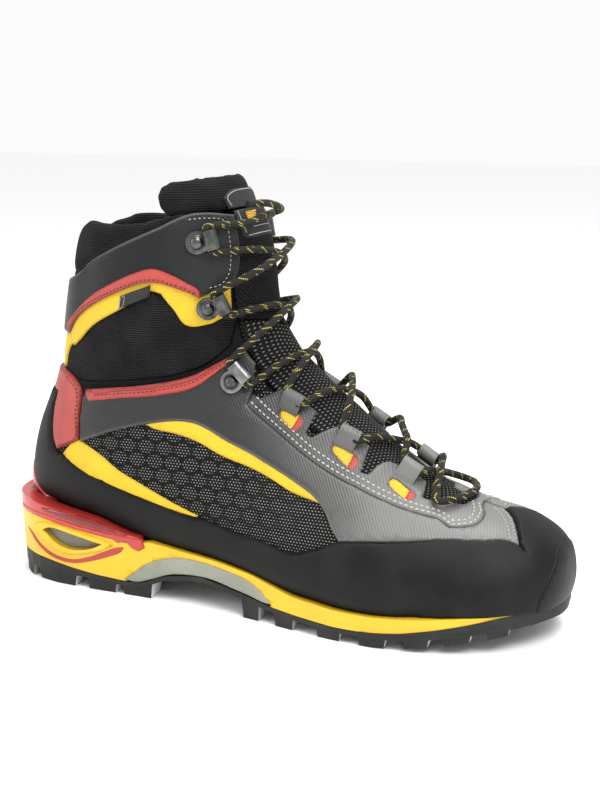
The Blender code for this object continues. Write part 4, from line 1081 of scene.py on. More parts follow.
@dataclass(frozen=True)
class Tread:
    """Outsole rubber whose low lug faces towards the toe carry a painted highlight, a pale grey."""

    name: str = "tread_rubber"

    def build(self) -> Material:
        """Make the material."""
        d = Dressing(self.name, 0.6, Specular_IOR_Level=0.3)
        # painted highlight: lug faces near the ground that turn towards the toe are painted pale
        # grey
        facing = d.dot(d.add("NewGeometry", out="Normal"), (0.95, 0, -0.3))
        low = d.ramp(d.dot(d.coords, (0, 0, 1)), 0.0125, 0.0105)
        tone = d.stains(50.0, 900.0)
        pale = d.times(d.ramp(facing, 0.72, 0.86), low)
        black = d.mix(d.ramp(tone["Tone"], 0.4, 0.8), (0.009, 0.009, 0.0085), (0.022, 0.022, 0.02))
        d.paint(d.mix(pale, black, (0.7, 0.7, 0.66)))
        d.bump(tone["Grain"], 0.0001)
        return d.material


@dataclass(frozen=True)
class Metal:
    """Plated steel with fine wear."""

    name: str
    colour: Triple
    roughness: float

    def build(self) -> Material:
        """Make the material."""
        d = Dressing(self.name, self.roughness, 0.95)
        tone = d.stains(220.0, 2500.0)
        darker = tuple(c * 0.45 for c in self.colour)
        d.paint(d.mix(d.ramp(tone["Tone"], 0.35, 0.7), self.colour, darker))
        d.rough(d.ramp(tone["Tone"], 0.3, 0.7, self.roughness - 0.08, self.roughness + 0.14))
        d.bump(tone["Grain"], 0.00003)
        return d.material


@dataclass(frozen=True)
class Braid:
    """Round black braid with groups of yellow flecks along it."""

    name: str = "lace_braid"
    carriers: int = 10
    lay: float = 0.0016
    repeat: float = 0.0085

    def build(self) -> Material:
        """Make the material."""
        d = Dressing(self.name, 0.72, Specular_IOR_Level=0.25)
        angle = d.math("ARCTAN2", d.attribute("turn_sin"), d.attribute("turn_cos"))
        turn = d.times(angle, self.carriers / (2 * math.pi))
        run = d.attribute("run")
        along = d.math("DIVIDE", run, self.lay)
        a = d.plus(turn, along)
        b = d.math("SUBTRACT", turn, along)
        bumps = d.times(d.math("ABSOLUTE", d.math("SINE", d.times(a, math.pi))),
                       d.math("ABSOLUTE", d.math("SINE", d.times(b, math.pi))))
        strand = d.math("MODULO", d.math("ABSOLUTE", d.math("FLOOR", a)), 3.0)
        marked = d.math("LESS_THAN", strand, 0.5)
        place = d.math("FRACT", d.math("DIVIDE", run, self.repeat))
        near = d.math("LESS_THAN", place, 0.5)
        mask = d.times(d.times(marked, near), d.ramp(bumps, 0.35, 0.6))
        black = d.mix(d.ramp(bumps, 0.05, 0.7), grey(0.002), (0.026, 0.025, 0.021))
        d.paint(d.mix(mask, black, (0.5, 0.42, 0.09)))
        d.bump(bumps, 0.00035)
        return d.material


class Finishes:
    """Every finish of the boot, made once."""

    def __init__(self) -> None:
        """Build all materials."""
        self.knit = Knit().build()
        self.lining = Knit("lining_cloth", Weave.SHAFT, (0.012, 0.012, 0.013),
                           (0.04, 0.04, 0.043), 0.0012).build()
        self.footbed = Knit("footbed_cloth", Weave.SIDE, (0.02, 0.02, 0.022),
                            (0.06, 0.06, 0.065), 0.0012).build()
        self.quarter_mesh = FleckedMesh("quarter_mesh", Weave.SIDE, clusters=True).build()
        self.tongue_mesh = FleckedMesh("tongue_mesh", Weave.TOP, fleck=(0.16, 0.16, 0.15),
                                       pitch=0.0021).build()
        self.coat = RibbedCoat().build()
        # the cuff wrap carries the same painted sheen, paler towards its front
        self.band_coat = RibbedCoat("cuff_ribbed_coat", direction=(0.78, 0.0, 0.62),
                                    dark=(0.004, 0.0042, 0.0045), pale=(0.02, 0.021, 0.022),
                                    sheen_span=(-0.085, 0.0), shine=0.22).build()
        self.yellow = FlatCoat("yellow_coat", (0.62, 0.4, 0.003), (0.46, 0.28, 0.002)).build()
        self.webbing = FlatCoat("yellow_webbing", (0.8, 0.46, 0.03), (0.5, 0.26, 0.01), 0.7,
                                Weave.SIDE, 0.0012, 0.0004).build()
        self.red = FlatCoat("red_coat", (0.37, 0.036, 0.026), (0.2, 0.016, 0.012), 0.42).build()
        self.red_tab = FlatCoat("red_perforated", (0.37, 0.036, 0.026), (0.1, 0.008, 0.006), 0.42,
                                pitch=0.0016, depth=0.0002, holes=0.75).build()
        self.red_fold = FlatCoat("red_fold", (0.3, 0.028, 0.022), (0.14, 0.012, 0.01), 0.5).build()
        self.rubber = Moulded("rand_rubber", grey(0.0045), (0.012, 0.0125, 0.0115), 0.52,
                              1100.0, 0.00005, scuffed=0.8, shine=0.16).build()
        self.tread = Tread().build()
        self.foam = Moulded("midsole_foam", (0.62, 0.39, 0.008), (0.5, 0.3, 0.008), 0.45,
                            900.0, 0.00006, scuffed=0.7).build()
        self.red_plastic = Moulded("ledge_plastic", (0.38, 0.03, 0.022), (0.28, 0.02, 0.016), 0.36,
                                   coat=0.2).build()
        self.red_gloss = Moulded("ledge_gloss", (0.16, 0.01, 0.008), (0.09, 0.006, 0.005), 0.18,
                                 depth=0.00001, coat=0.35, shine=0.3).build()
        self.inlay = Moulded("inlay_red", (0.34, 0.03, 0.022), (0.26, 0.022, 0.018), 0.5).build()
        self.arch = Moulded("arch_grain", (0.19, 0.2, 0.155), (0.26, 0.27, 0.22), 0.62, 480.0,
                            0.0005, scuffed=0.9).build()
        self.window = Moulded("window_grain", (0.12, 0.115, 0.085), (0.16, 0.15, 0.115), 0.6,
                              520.0, 0.0003, scuffed=0.9).build()
        self.gunmetal = Metal("gunmetal", (0.1, 0.1, 0.097), 0.34).build()
        self.bright = Metal("bright_steel", grey(0.3), 0.24).build()
        self.braid = Braid().build()
        self.pale_thread = Moulded("pale_thread", (0.4, 0.4, 0.36), (0.28, 0.28, 0.25), 0.75,
                                   2200.0, 0.0002).build()
        self.dark_thread = Moulded("dark_thread", (0.02, 0.012, 0.01), (0.05, 0.02, 0.018), 0.75,
                                   2200.0, 0.0002).build()
        self.badge = FlatCoat("badge_weave", (0.008, 0.008, 0.009), (0.02, 0.02, 0.022), 0.7,
                              Weave.SHAFT, 0.0006, 0.0002).build()
        self.board = Moulded("board_fibre", (0.33, 0.26, 0.17), (0.24, 0.18, 0.11), 0.85).build()
        self.floor = Moulded("studio_floor", grey(0.95), grey(0.93), 0.9, 20.0,
                             0.0, scuffed=0.2).build()


# ---------- stitches
@dataclass(frozen=True)
class Stitch:
    """One stitch of a seam: its spacing, length, width and height."""

    spacing: float
    length: float
    width: float
    rise: float


def curve_on_upper(points: Line, offset: float = 0.0, step: float = 1.0) -> Array:
    """Evenly spaced places along an open line on the upper.

    Args:
        points: (s, phi) points that the line follows.
        offset: how far it is moved sideways, to its left.
        step: distance between the places.

    Returns:
        (s, phi) rows.
    """
    pts = np.array(flat(points))
    dense = spline(pts, np.linspace(0, len(pts) - 1, 24 * len(pts)))
    if offset:
        run = np.gradient(dense, axis=0)
        run /= np.maximum(np.hypot(*run.T), TINY)[:, None]
        dense = dense + offset * np.stack([-run[:, 1], run[:, 0]], axis=1)
    places = dense / np.array([ALONG, ROUND])
    world = SKIN.at(places[:, 0], places[:, 1])
    length = np.concatenate([[0], np.cumsum(np.linalg.norm(np.diff(world, axis=0), axis=1))])
    wanted = np.arange(step / 2, length[-1], step)
    return np.stack([np.interp(wanted, length, places[:, k]) for k in (0, 1)], axis=1)


def sew(name: str, lines: Sequence[Line], height: float, stitch: Stitch, material: Material,
        body: Body = Body.LOWER, offset: float = 0.0) -> None:
    """Sew rows of small rounded stitches on the upper, as one piece.

    Args:
        name: the piece's name.
        lines: the (s, phi) lines that the rows follow.
        height: height of the fabric's face.
        stitch: the stitch.
        material: the thread.
        body: the body that the rows move with.
        offset: how far the rows are moved sideways.
    """
    bm = bmesh.new()
    for line in lines:
        places = curve_on_upper(line, offset, stitch.spacing)
        for (s, phi), (s2, phi2) in zip(places, places[1:]):
            a, b = SKIN.point(s, phi, height), SKIN.point(s2, phi2, height)
            out = (SKIN.point(s, phi, height + 1) - a).normalized()
            run = (b - a).normalized()
            turn = Matrix((run, out.cross(run), out)).transposed().to_4x4()
            turn.translation = a
            size = Matrix.Diagonal((stitch.length / 2, stitch.width / 2, stitch.rise, 1))
            bmesh.ops.create_uvsphere(bm, u_segments=6, v_segments=4, radius=1.0,
                                      matrix=turn @ size)
    place_piece(make_object(name, bm, material, 180.0), body)


def tube(points: Sequence[Vector], radius: float, sides: int) -> BMesh:
    """A round tube along a line of points, with closed ends.

    Its points carry their distance along it and their angle round it.

    Args:
        points: the tube's middle line.
        radius: its radius.
        sides: how many sides it has.

    Returns:
        The tube.
    """
    bm = bmesh.new()
    run, turn_cos, turn_sin = (bm.verts.layers.float.new(name)
                               for name in ("run", "turn_cos", "turn_sin"))
    up = Vector((0, 0, 1))
    last: list = []
    travelled = 0.0
    for i, point in enumerate(points):
        ahead = (points[min(i + 1, len(points) - 1)] - points[max(i - 1, 0)]).normalized()
        up = (up - ahead * up.dot(ahead)).normalized()
        place = Matrix((ahead.cross(up), up, -ahead)).transposed().to_4x4()
        place.translation = point
        made = bmesh.ops.create_circle(bm, segments=sides, radius=radius, matrix=place,
                                       cap_ends=i in (0, len(points) - 1))["verts"]
        if i:
            travelled += (point - points[i - 1]).length
        for v in made[:sides]:
            v[run] = travelled * MM
            local = place.inverted() @ v.co
            v[turn_cos], v[turn_sin] = local.x / radius, local.y / radius
        ring = list({e for v in made for e in v.link_edges if e.other_vert(v) in made})
        if last:
            bmesh.ops.bridge_loops(bm, edges=last + ring)
        last = ring
    bmesh.ops.recalc_face_normals(bm, faces=bm.faces)
    return bm


def soft_curve(points: Sequence[Vector], per_span: int = 6) -> list[Vector]:
    """Points on a smooth curve through a route's points.

    Args:
        points: the route.
        per_span: new points for each stretch of it.

    Returns:
        The new points.
    """
    keys = np.array(points)
    dense = spline(keys, np.linspace(0, len(keys) - 1, (len(keys) - 1) * per_span + 1))
    return [Vector(p) for p in dense]


SOFTEN_TIMES, SWELL_FRAMES = 12, 20


def puff(obj: Object, voxel: float, pressure: float, cap: float) -> None:
    """Swell a padded piece with a short cloth simulation, and smooth it.

    Args:
        obj: the piece.
        voxel: size of the remeshed cells, in metres.
        pressure: how hard it swells.
        cap: how far a point may move, in metres.
    """
    remesh = obj.modifiers.new("even", "REMESH")
    remesh.mode = "VOXEL"
    remesh.voxel_size = voxel
    soften = obj.modifiers.new("soften", "SMOOTH")
    soften.factor, soften.iterations = 0.5, SOFTEN_TIMES
    apply_modifiers(obj)
    start = np.array([v.co for v in obj.data.vertices])
    cloth = obj.modifiers.new("swell", "CLOTH")
    cloth.settings.use_pressure = True
    cloth.settings.uniform_pressure_force = pressure
    cloth.settings.effector_weights.gravity = 0.0
    cloth.point_cache.frame_start, cloth.point_cache.frame_end = 1, SWELL_FRAMES
    for number in range(1, SWELL_FRAMES + 1):
        bpy.context.scene.frame_set(number)
    apply_modifiers(obj)
    bpy.context.scene.frame_set(1)
    now = np.array([v.co for v in obj.data.vertices])
    move = now - start
    far = np.linalg.norm(move, axis=1, keepdims=True)
    now = start + move * np.minimum(1, cap / np.maximum(far, 1e-9))
    for v, co in zip(obj.data.vertices, now):
        v.co = co
    smooth = obj.modifiers.new("smooth", "SUBSURF")
    smooth.levels = smooth.render_levels = 1
    apply_modifiers(obj)
    obj.data.shade_smooth()


# ---------- the sole
def closed_curve(points: Line, per_span: int) -> Array:
    """Points on a closed smooth curve through an outline's points.

    Args:
        points: the outline.
        per_span: new points for each stretch of it.

    Returns:
        The new points.
    """
    keys = np.array(list(points[-1:]) + list(points) + list(points[:2]), float)
    count = len(points)
    return spline(keys, np.linspace(1, count + 1, count * per_span + 1)[:-1])


SOLE_LOOP = closed_curve(SOLE_OUTLINE, 7)


FLARE, FLARE_FOOT, FLARE_HEIGHT = 4.2 / 36, 8.0, 30.0


def heel_flare(x: Array, z: Array) -> Array:
    """Factor on y: the heel widens towards its top."""
    rise = np.clip((z - FLARE_FOOT) / FLARE_HEIGHT, 0, 1)
    return 1 + FLARE * rise * smoothstep(-x, 40, 95)


def wall_y(x: Array, z: Array, side: int) -> Array:
    """y of the sole's outer wall on one side.

    Args:
        x: places along the boot.
        z: their heights.
        side: -1 outside, +1 inside.

    Returns:
        y at each place.
    """
    loop = SOLE_LOOP[SOLE_LOOP[:, 1] * side > 0]
    loop = loop[np.argsort(loop[:, 0])]
    return np.interp(x, loop[:, 0], loop[:, 1]) * heel_flare(x, z)


def on_wall(side: int) -> Place:
    """Lays a sheet on the sole's outer wall."""
    def place(u: Array, v: Array, height: Array) -> Array:
        """Points of the wall for (x, z) and a height above it."""
        return np.stack([u, wall_y(u, v, side) + side * height, v], axis=-1)
    return place


def rest_line(x: float) -> float:
    """Top of the sole's rim."""
    return float(table(LEDGE_TOP, x) if x < LEDGE_FRONT + 1.5 else table(MIDSOLE_TOP, x))


def foot_plan(grow: float) -> Array:
    """Outline of the upper inside the sole's rim, seen from above, grown by a distance.

    Args:
        grow: the distance.

    Returns:
        The outline's (x, y) points.
    """
    def half_width(x: float, side: int) -> float:
        """Widest |y| of the upper near the rim."""
        heights = np.linspace(table(FLOOR, x) + 3, rest_line(x) + 2, 5)
        spots = [SKIN.locate(x, float(z)) for z in heights]
        return max(abs(SKIN.point(s, side * phi).y) for s, phi in spots) + grow

    outside = [(x, -half_width(x, -1)) for x in PLAN_STATIONS]
    inside = [(x, half_width(x, 1)) for x in reversed(PLAN_STATIONS)]
    heel, toe = HEEL_END - grow, TOE_END + grow
    ends = [(toe - 1, -4), (toe, 5), (toe - 1, 15)], [(heel + 0.8, 10), (heel, 1), (heel + 0.8, -8)]
    return np.array(outside + ends[0] + inside + ends[1], float)


def sole_body(outline: Array, bottom: Line | float, top: Line | float,
              levels: int = 6, flare: bool = True, belly: float = 0.0,
              lift: Pair = (0.0, 0.0)) -> BMesh:
    """A body over an outline seen from above, between two lines of heights.

    Args:
        outline: its (x, y) outline.
        bottom: (x, z) line or height of its underside.
        top: (x, z) line or height of its upper side.
        levels: how many rows of faces its wall has.
        flare: whether it widens at the heel as the sole does.
        belly: how far its wall bulges half way up.
        lift: heights added to bottom and top.

    Returns:
        The body.
    """
    bm = bmesh.new()
    bm.faces.new([bm.verts.new((x, y, 0.0)) for x, y in outline])
    cut_grid(bm, (5.0, 400.0))
    cap = bm.faces[:]
    for level in range(levels):
        _, raised = extrude(bm, cap, (0, 0, 1))
        if level:
            bmesh.ops.delete(bm, geom=cap, context="FACES_ONLY")
        cap = raised
    co = np.array([v.co for v in bm.verts])
    x, y, part = co[:, 0], co[:, 1], co[:, 2] / levels
    low = (bottom if isinstance(bottom, float) else table(bottom, x)) + lift[0]
    high = (top if isinstance(top, float) else table(top, x)) + lift[1]
    z = low * (1 - part) + high * part
    y = y * (heel_flare(x, z) if flare else 1)
    y = y + np.sign(y) * belly * np.sin(math.pi * part) * smoothstep(np.abs(y), 6, 20)
    for v, point in zip(bm.verts, np.stack([x, y, z], axis=1)):
        v.co = point
    bmesh.ops.recalc_face_normals(bm, faces=bm.faces)
    return bm


@dataclass
class SoleUnit:
    """Midsole, red heel ledge, arch inserts, window inserts and tread."""

    finishes: Finishes
    insert_depth: float = 5.0
    window_recess: float = 2.2
    frame_rise: float = 1.5

    ARCH_TOP = ((-77, 9), (-70, 14), (-62, 20), (-53, 23.6), (-43, 25.6), (-30, 25.6),
                (-15, 23.8), (0, 20.6), (8, 16), (14, 11.2))
    WINDOW = ((-126, 31), (-121.5, 33.2), (-106, 31.4), (-88, 28), (-96, 24), (-108, 22),
              (-117, 24))
    FRAME = ((-133, 33), (-126, 35.6), (-106, 33.7), (-88, 30.4), (-81.5, 28), (-90, 23.5),
             (-99, 20.8), (-111, 18.8), (-121, 21), (-129, 27))
    INLAY = ((-141, 29), (-137, 25), (-131, 19.8), (-120, 14.8), (-109, 13.8), (-97, 16.6),
             (-86, 20.6), (-77, 25), (-75.5, 27.6), (-79.5, 27), (-88, 23.4), (-98, 19),
             (-109, 16), (-119.5, 17), (-130, 22), (-136, 27.3))
    BAND = ((-146, 41.5), (-126, 40.7), (-108, 38), (-91, 35.8), (-80, 34.5), (-70, 33.6),
            (-64.5, 33.4), (-63, 28.6), (-67, 26.2), (-70.5, 27.4), (-74, 31), (-79, 29.6),
            (-83, 31.8), (-91, 33), (-108, 35.4), (-126, 38.2), (-146, 39.2))
    TOE_WRAP = ((62, 7.9), (71, 8.1), (84, 9.5), (102, 12.9), (117, 16.2), (128, 18.8),
                (136, 19.8), (160, 20.0))
    GLOSS = ((-127, 43.6), (-118, 44), (-107, 42.9), (-93, 40.9), (-84, 38), (-76, 35.4),
             (-72, 34.2), (-80, 34.7), (-91, 36), (-107, 38.4), (-118, 40.6), (-125, 42.2))

    def build(self) -> None:
        """Build and dress every piece of the sole."""
        fin = self.finishes
        midsole = make_object("midsole_body", sole_body(
            SOLE_LOOP, OUTSOLE_TOP, MIDSOLE_TOP), fin.foam, 32)
        cut_away(midsole, sole_body(foot_plan(FOOT_GAP), FLOOR, ABOVE_RIM, 1, False,
                                    lift=(-2.6, 0)))
        for side, word in SIDES:
            self.side(side, word, midsole)
        place_piece(midsole, Body.LOWER, ["midsole"])
        self.ledge()
        start = self.TOE_WRAP[0][0]
        toe = np.array([(x + 0.35, y * 1.008) for x, y in SOLE_LOOP if x > start])
        toe = toe[np.argsort(np.arctan2(toe[:, 1], toe[:, 0] - start))]
        wrap = make_object("tread_toe_wrap", sole_body(toe, OUTSOLE_TOP, self.TOE_WRAP, 3,
                                                       lift=(-0.3, 0)), fin.tread, 40)
        place_piece(wrap, Body.LOWER)
        for node, material in (("outsole", fin.tread), ("insole_board", fin.board),
                               ("footbed", fin.footbed)):
            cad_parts[node].data.materials.clear()
            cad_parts[node].data.materials.append(material)
        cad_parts["footbed"].data.shade_smooth()

    def side(self, side: int, word: str, midsole: Object) -> None:
        """Inserts, raised frame and red lines on one side.

        Args:
            side: -1 outside, +1 inside.
            word: the side's name.
            midsole: the body that pockets are cut into.
        """
        fin, wall = self.finishes, on_wall(side)
        low = [(x, float(table(OUTSOLE_TOP, x)) + 0.4)
               for x in (10, 0, -10, -25, -40, -50, -60, -70)]
        below = [(x, z - 5) for x, z in low]
        deep = Layer(-self.insert_depth, 0.25, 0.8, 0.9)
        pocket = Layer(-self.insert_depth - 0.4, 5.0, 0.1, 0.99)
        cut_away(midsole, lay([list(self.ARCH_TOP) + below], wall, pocket, WALL_GRID))
        cut_away(midsole, lay([self.WINDOW], wall, pocket, WALL_GRID))
        arch = make_object(f"arch_shell_{word}", lay(
            [list(self.ARCH_TOP) + low], wall, deep, (3.0, 3.0)), fin.arch)
        place_piece(arch, Body.LOWER, [f"arch_insert_{word}"])
        window = make_object(f"window_panel_{word}", lay(
            [self.WINDOW], wall, Layer(-self.insert_depth, -self.window_recess, 0.5, 0.9, 0.7, 5.0),
            (3.0, 3.0)), fin.window)
        place_piece(window, Body.LOWER, [f"window_insert_{word}"])
        rim = make_object(f"window_frame_{word}", lay(
            [self.FRAME], wall, Layer(-1.5, self.frame_rise, 1.4, 0.6), (3.0, 3.0)), fin.foam)
        cut_away(rim, lay([self.WINDOW], wall, pocket, WALL_GRID))
        rim.data.shade_smooth()
        place_piece(rim, Body.LOWER)
        for name, outline, layer, material in (
                ("inlay_line", self.INLAY, Layer(-1.0, 0.4, 0.5, 0.8), fin.inlay),
                ("ledge_band", self.BAND, Layer(-1.0, 0.9, 0.8, 0.5), fin.red_plastic),
                ("ledge_gloss", self.GLOSS, Layer(-1.0, 0.8, 0.8, 0.5, 0.5, 2.5), fin.red_gloss)):
            piece = make_object(f"{name}_{word}", lay([outline], wall, layer, (3.0, 2.0)), material)
            place_piece(piece, Body.LOWER)

    def ledge(self) -> None:
        """Red ledge round the heel, and its upstand behind the heel."""
        fin = self.finishes
        loop = [tuple(p) for p in SOLE_LOOP if p[0] < LEDGE_FRONT - 2]
        loop += [(LEDGE_FRONT, -36.0), (LEDGE_FRONT, 35.0)]
        loop.sort(key=lambda p: math.atan2(p[1], -(p[0] + 100)))
        body = sole_body(np.array(loop), MIDSOLE_TOP, LEDGE_TOP, 4, belly=0.3, lift=(0.1, 0))
        ledge = make_object("heel_ledge_rim", body, fin.red_plastic, 40)
        cut_away(ledge, sole_body(foot_plan(FOOT_GAP), FLOOR, ABOVE_RIM, 1, False))
        place_piece(ledge, Body.LOWER, ["heel_ledge"])
        half = side_points([(-122, 46.2), (-136, 52), (-144, 61)], 1)
        half += [(back_line(64), BACK), (back_line(48.2), BACK)]
        half += side_points([(-143, 48), (-134, 47.4), (-126, 45.8)], 1)
        upstand = make_object("heel_upstand", lay(
            [flat(across_back(half))], on_upper, Layer(0.3, 4.1, 0.8)), fin.red_plastic)
        place_piece(upstand, Body.LOWER)


# ---------- the upper's outlines
STITCH_LINE = ((-9.5, 107.5), (1, 100), (14, 92), (27, 84), (41, 77), (58, 70), (71, 65),
               (83, 61.2), (93, 59))
QUARTER_LOW = ((46, 53), (41, 60), (35, 66), (20, 74), (6, 80), (-9, 86), (-17, 89), (-28, 94),
               (-38, 97), (-50, 97.3), (-63, 95), (-78, 91), (-94, 85), (-102.5, 81.5))
RAND_TOP_FRONT = ((126, 51.4), (118, 51.3), (97, 51.3), (83, 50.5), (60, 49.5), (50, 48.6))
RAND_TOP_MIDDLE = ((35, 43), (24, 40), (11, 42), (-14, 45), (-32, 49), (-57, 53.5), (-73, 57))
RAND_TOP_HEEL = ((-104, 67), (-114, 72), (-120, 73.5))
REAR_SEAM = tuple((-89.8, z) for z in (62.3, 57, 52, 47, 43.5, 41.6))
RAND_LOW = ((-82, 38.6), (-74, 36.2), (-66, 34.4), (-60.5, 32.6), (-42, 30.0), (-20, 27.8),
            (1, 24.9), (26, 18.8), (50, 17), (71, 16.6), (77, 16.6), (83, 16.8), (89, 17.2),
            (95, 17.6), (100, 18.1), (106, 18.7), (111, 19.2), (116, 19.6))
TRIM_LOW = ((-96, 104.6), (-90, 105.4), (-74, 108.4), (-53, 111.4), (-40, 114.4), (-34, 117.4),
            (-24, 125.4), (-16, 131.4))
TRIM_HIGH = ((-14, 135), (-28, 127), (-37, 122), (-46, 119), (-60, 116), (-78, 113), (-98, 110))
CUFF_TOP = ((-20, 203), (-36, 204.6), (-53, 197), (-76, 187), (-92, 179), (-102, 172))
CUFF_TRIM_HIGH = ((-33, 166), (-40, 171), (-48, 175), (-56, 177), (-66, 174), (-77, 169),
                  (-90, 162), (-102, 153), (-112, 144))
CUFF_TRIM_LOW = ((-112, 139.5), (-106, 146.5), (-94, 155), (-82, 161), (-65, 168), (-56, 170),
                 (-49, 169), (-40, 166), (-33, 162.5))
TOE_SIDE = ((3.9, 0.56), (2.6, 0.6), (1.4, 0.62), (0.5, 0.62), (0.12, 0.62))
STITCH_TOE = ((7.65, 0.634), (7.25, 0.58), (6.93, 0.5), (6.83, 0.4), (6.93, 0.25), (7.18, 0.12),
              (7.25, 0.03))
TOE_SEAM = ((6.5, 0.03), (6.08, 0.138), (5.62, 0.293), (5.23, 0.407), (4.88, 0.49))
EYESTAY_TABS = ((-7.5, 112.5), (-3, 111), (8, 116), (25, 105), (22.5, 95), (26, 93.5), (37, 98.5),
                (52, 88.5), (52.5, 78.5), (56, 77.5), (62, 81.5), (73, 76), (81, 71),
                (82.5, 66.4), (87, 65.6), (92, 68), (97, 66.4))
SLOTS_AT, SLOT_HALF = ((14.2, 102.0), (43.5, 85.5), (72.5, 70.3)), (3.8, 2.8)
SHELL = Layer(-2.0, 0.0, 0.6)
UNDERLAY = Layer(0.02, 1.2, 0.6)
OVERLAY = Layer(0.05, 2.5, 1.0, 0.5)
RUBBER = Layer(0.05, 3.5, 1.6, 0.3)
TRIM = Layer(2.2, 3.7, 0.7, 0.5)
ON_OVERLAY, ON_TAB, ON_TRIM = 2.55, 2.95, 3.8        # where stitches lie on those layers


def foot_edge(lift: float) -> list[Pair]:
    """(s, phi) line round the foot just above its floor, from the toe to the heel's back.

    Args:
        lift: how far above the floor it runs.

    Returns:
        Its half on the inside.
    """
    line = [(x, float(table(FLOOR, x)) + lift) for x in FOOT_STATIONS]
    toe = [(0.1, FRONT), (0.1, 0.35), (0.1, 0.7)]
    return toe + side_points(line, 1) + [(17.5, BACK - 0.35), (17.6, BACK)]


def on_rim(u: Array, v: Array, height: Array) -> Array:
    """Points of the upper kept above the sole's rim.

    Args:
        u: places along a flat sheet.
        v: places across it.
        height: heights above the skin.

    Returns:
        An array of points.
    """
    points = SKIN.at(u / ALONG, v / ROUND, height)
    rim = np.where(points[:, 0] < LEDGE_FRONT + 1.5, table(LEDGE_TOP, points[:, 0]),
                   table(MIDSOLE_TOP, points[:, 0]))
    points[:, 2] = np.maximum(points[:, 2], rim + 0.05)
    return points


def halves(half: list[Pair]) -> list[list[Pair]]:
    """Both halves of a piece that goes all the way round."""
    return [flat([(s, side * abs(phi)) for s, phi in half]) for side, _ in SIDES]


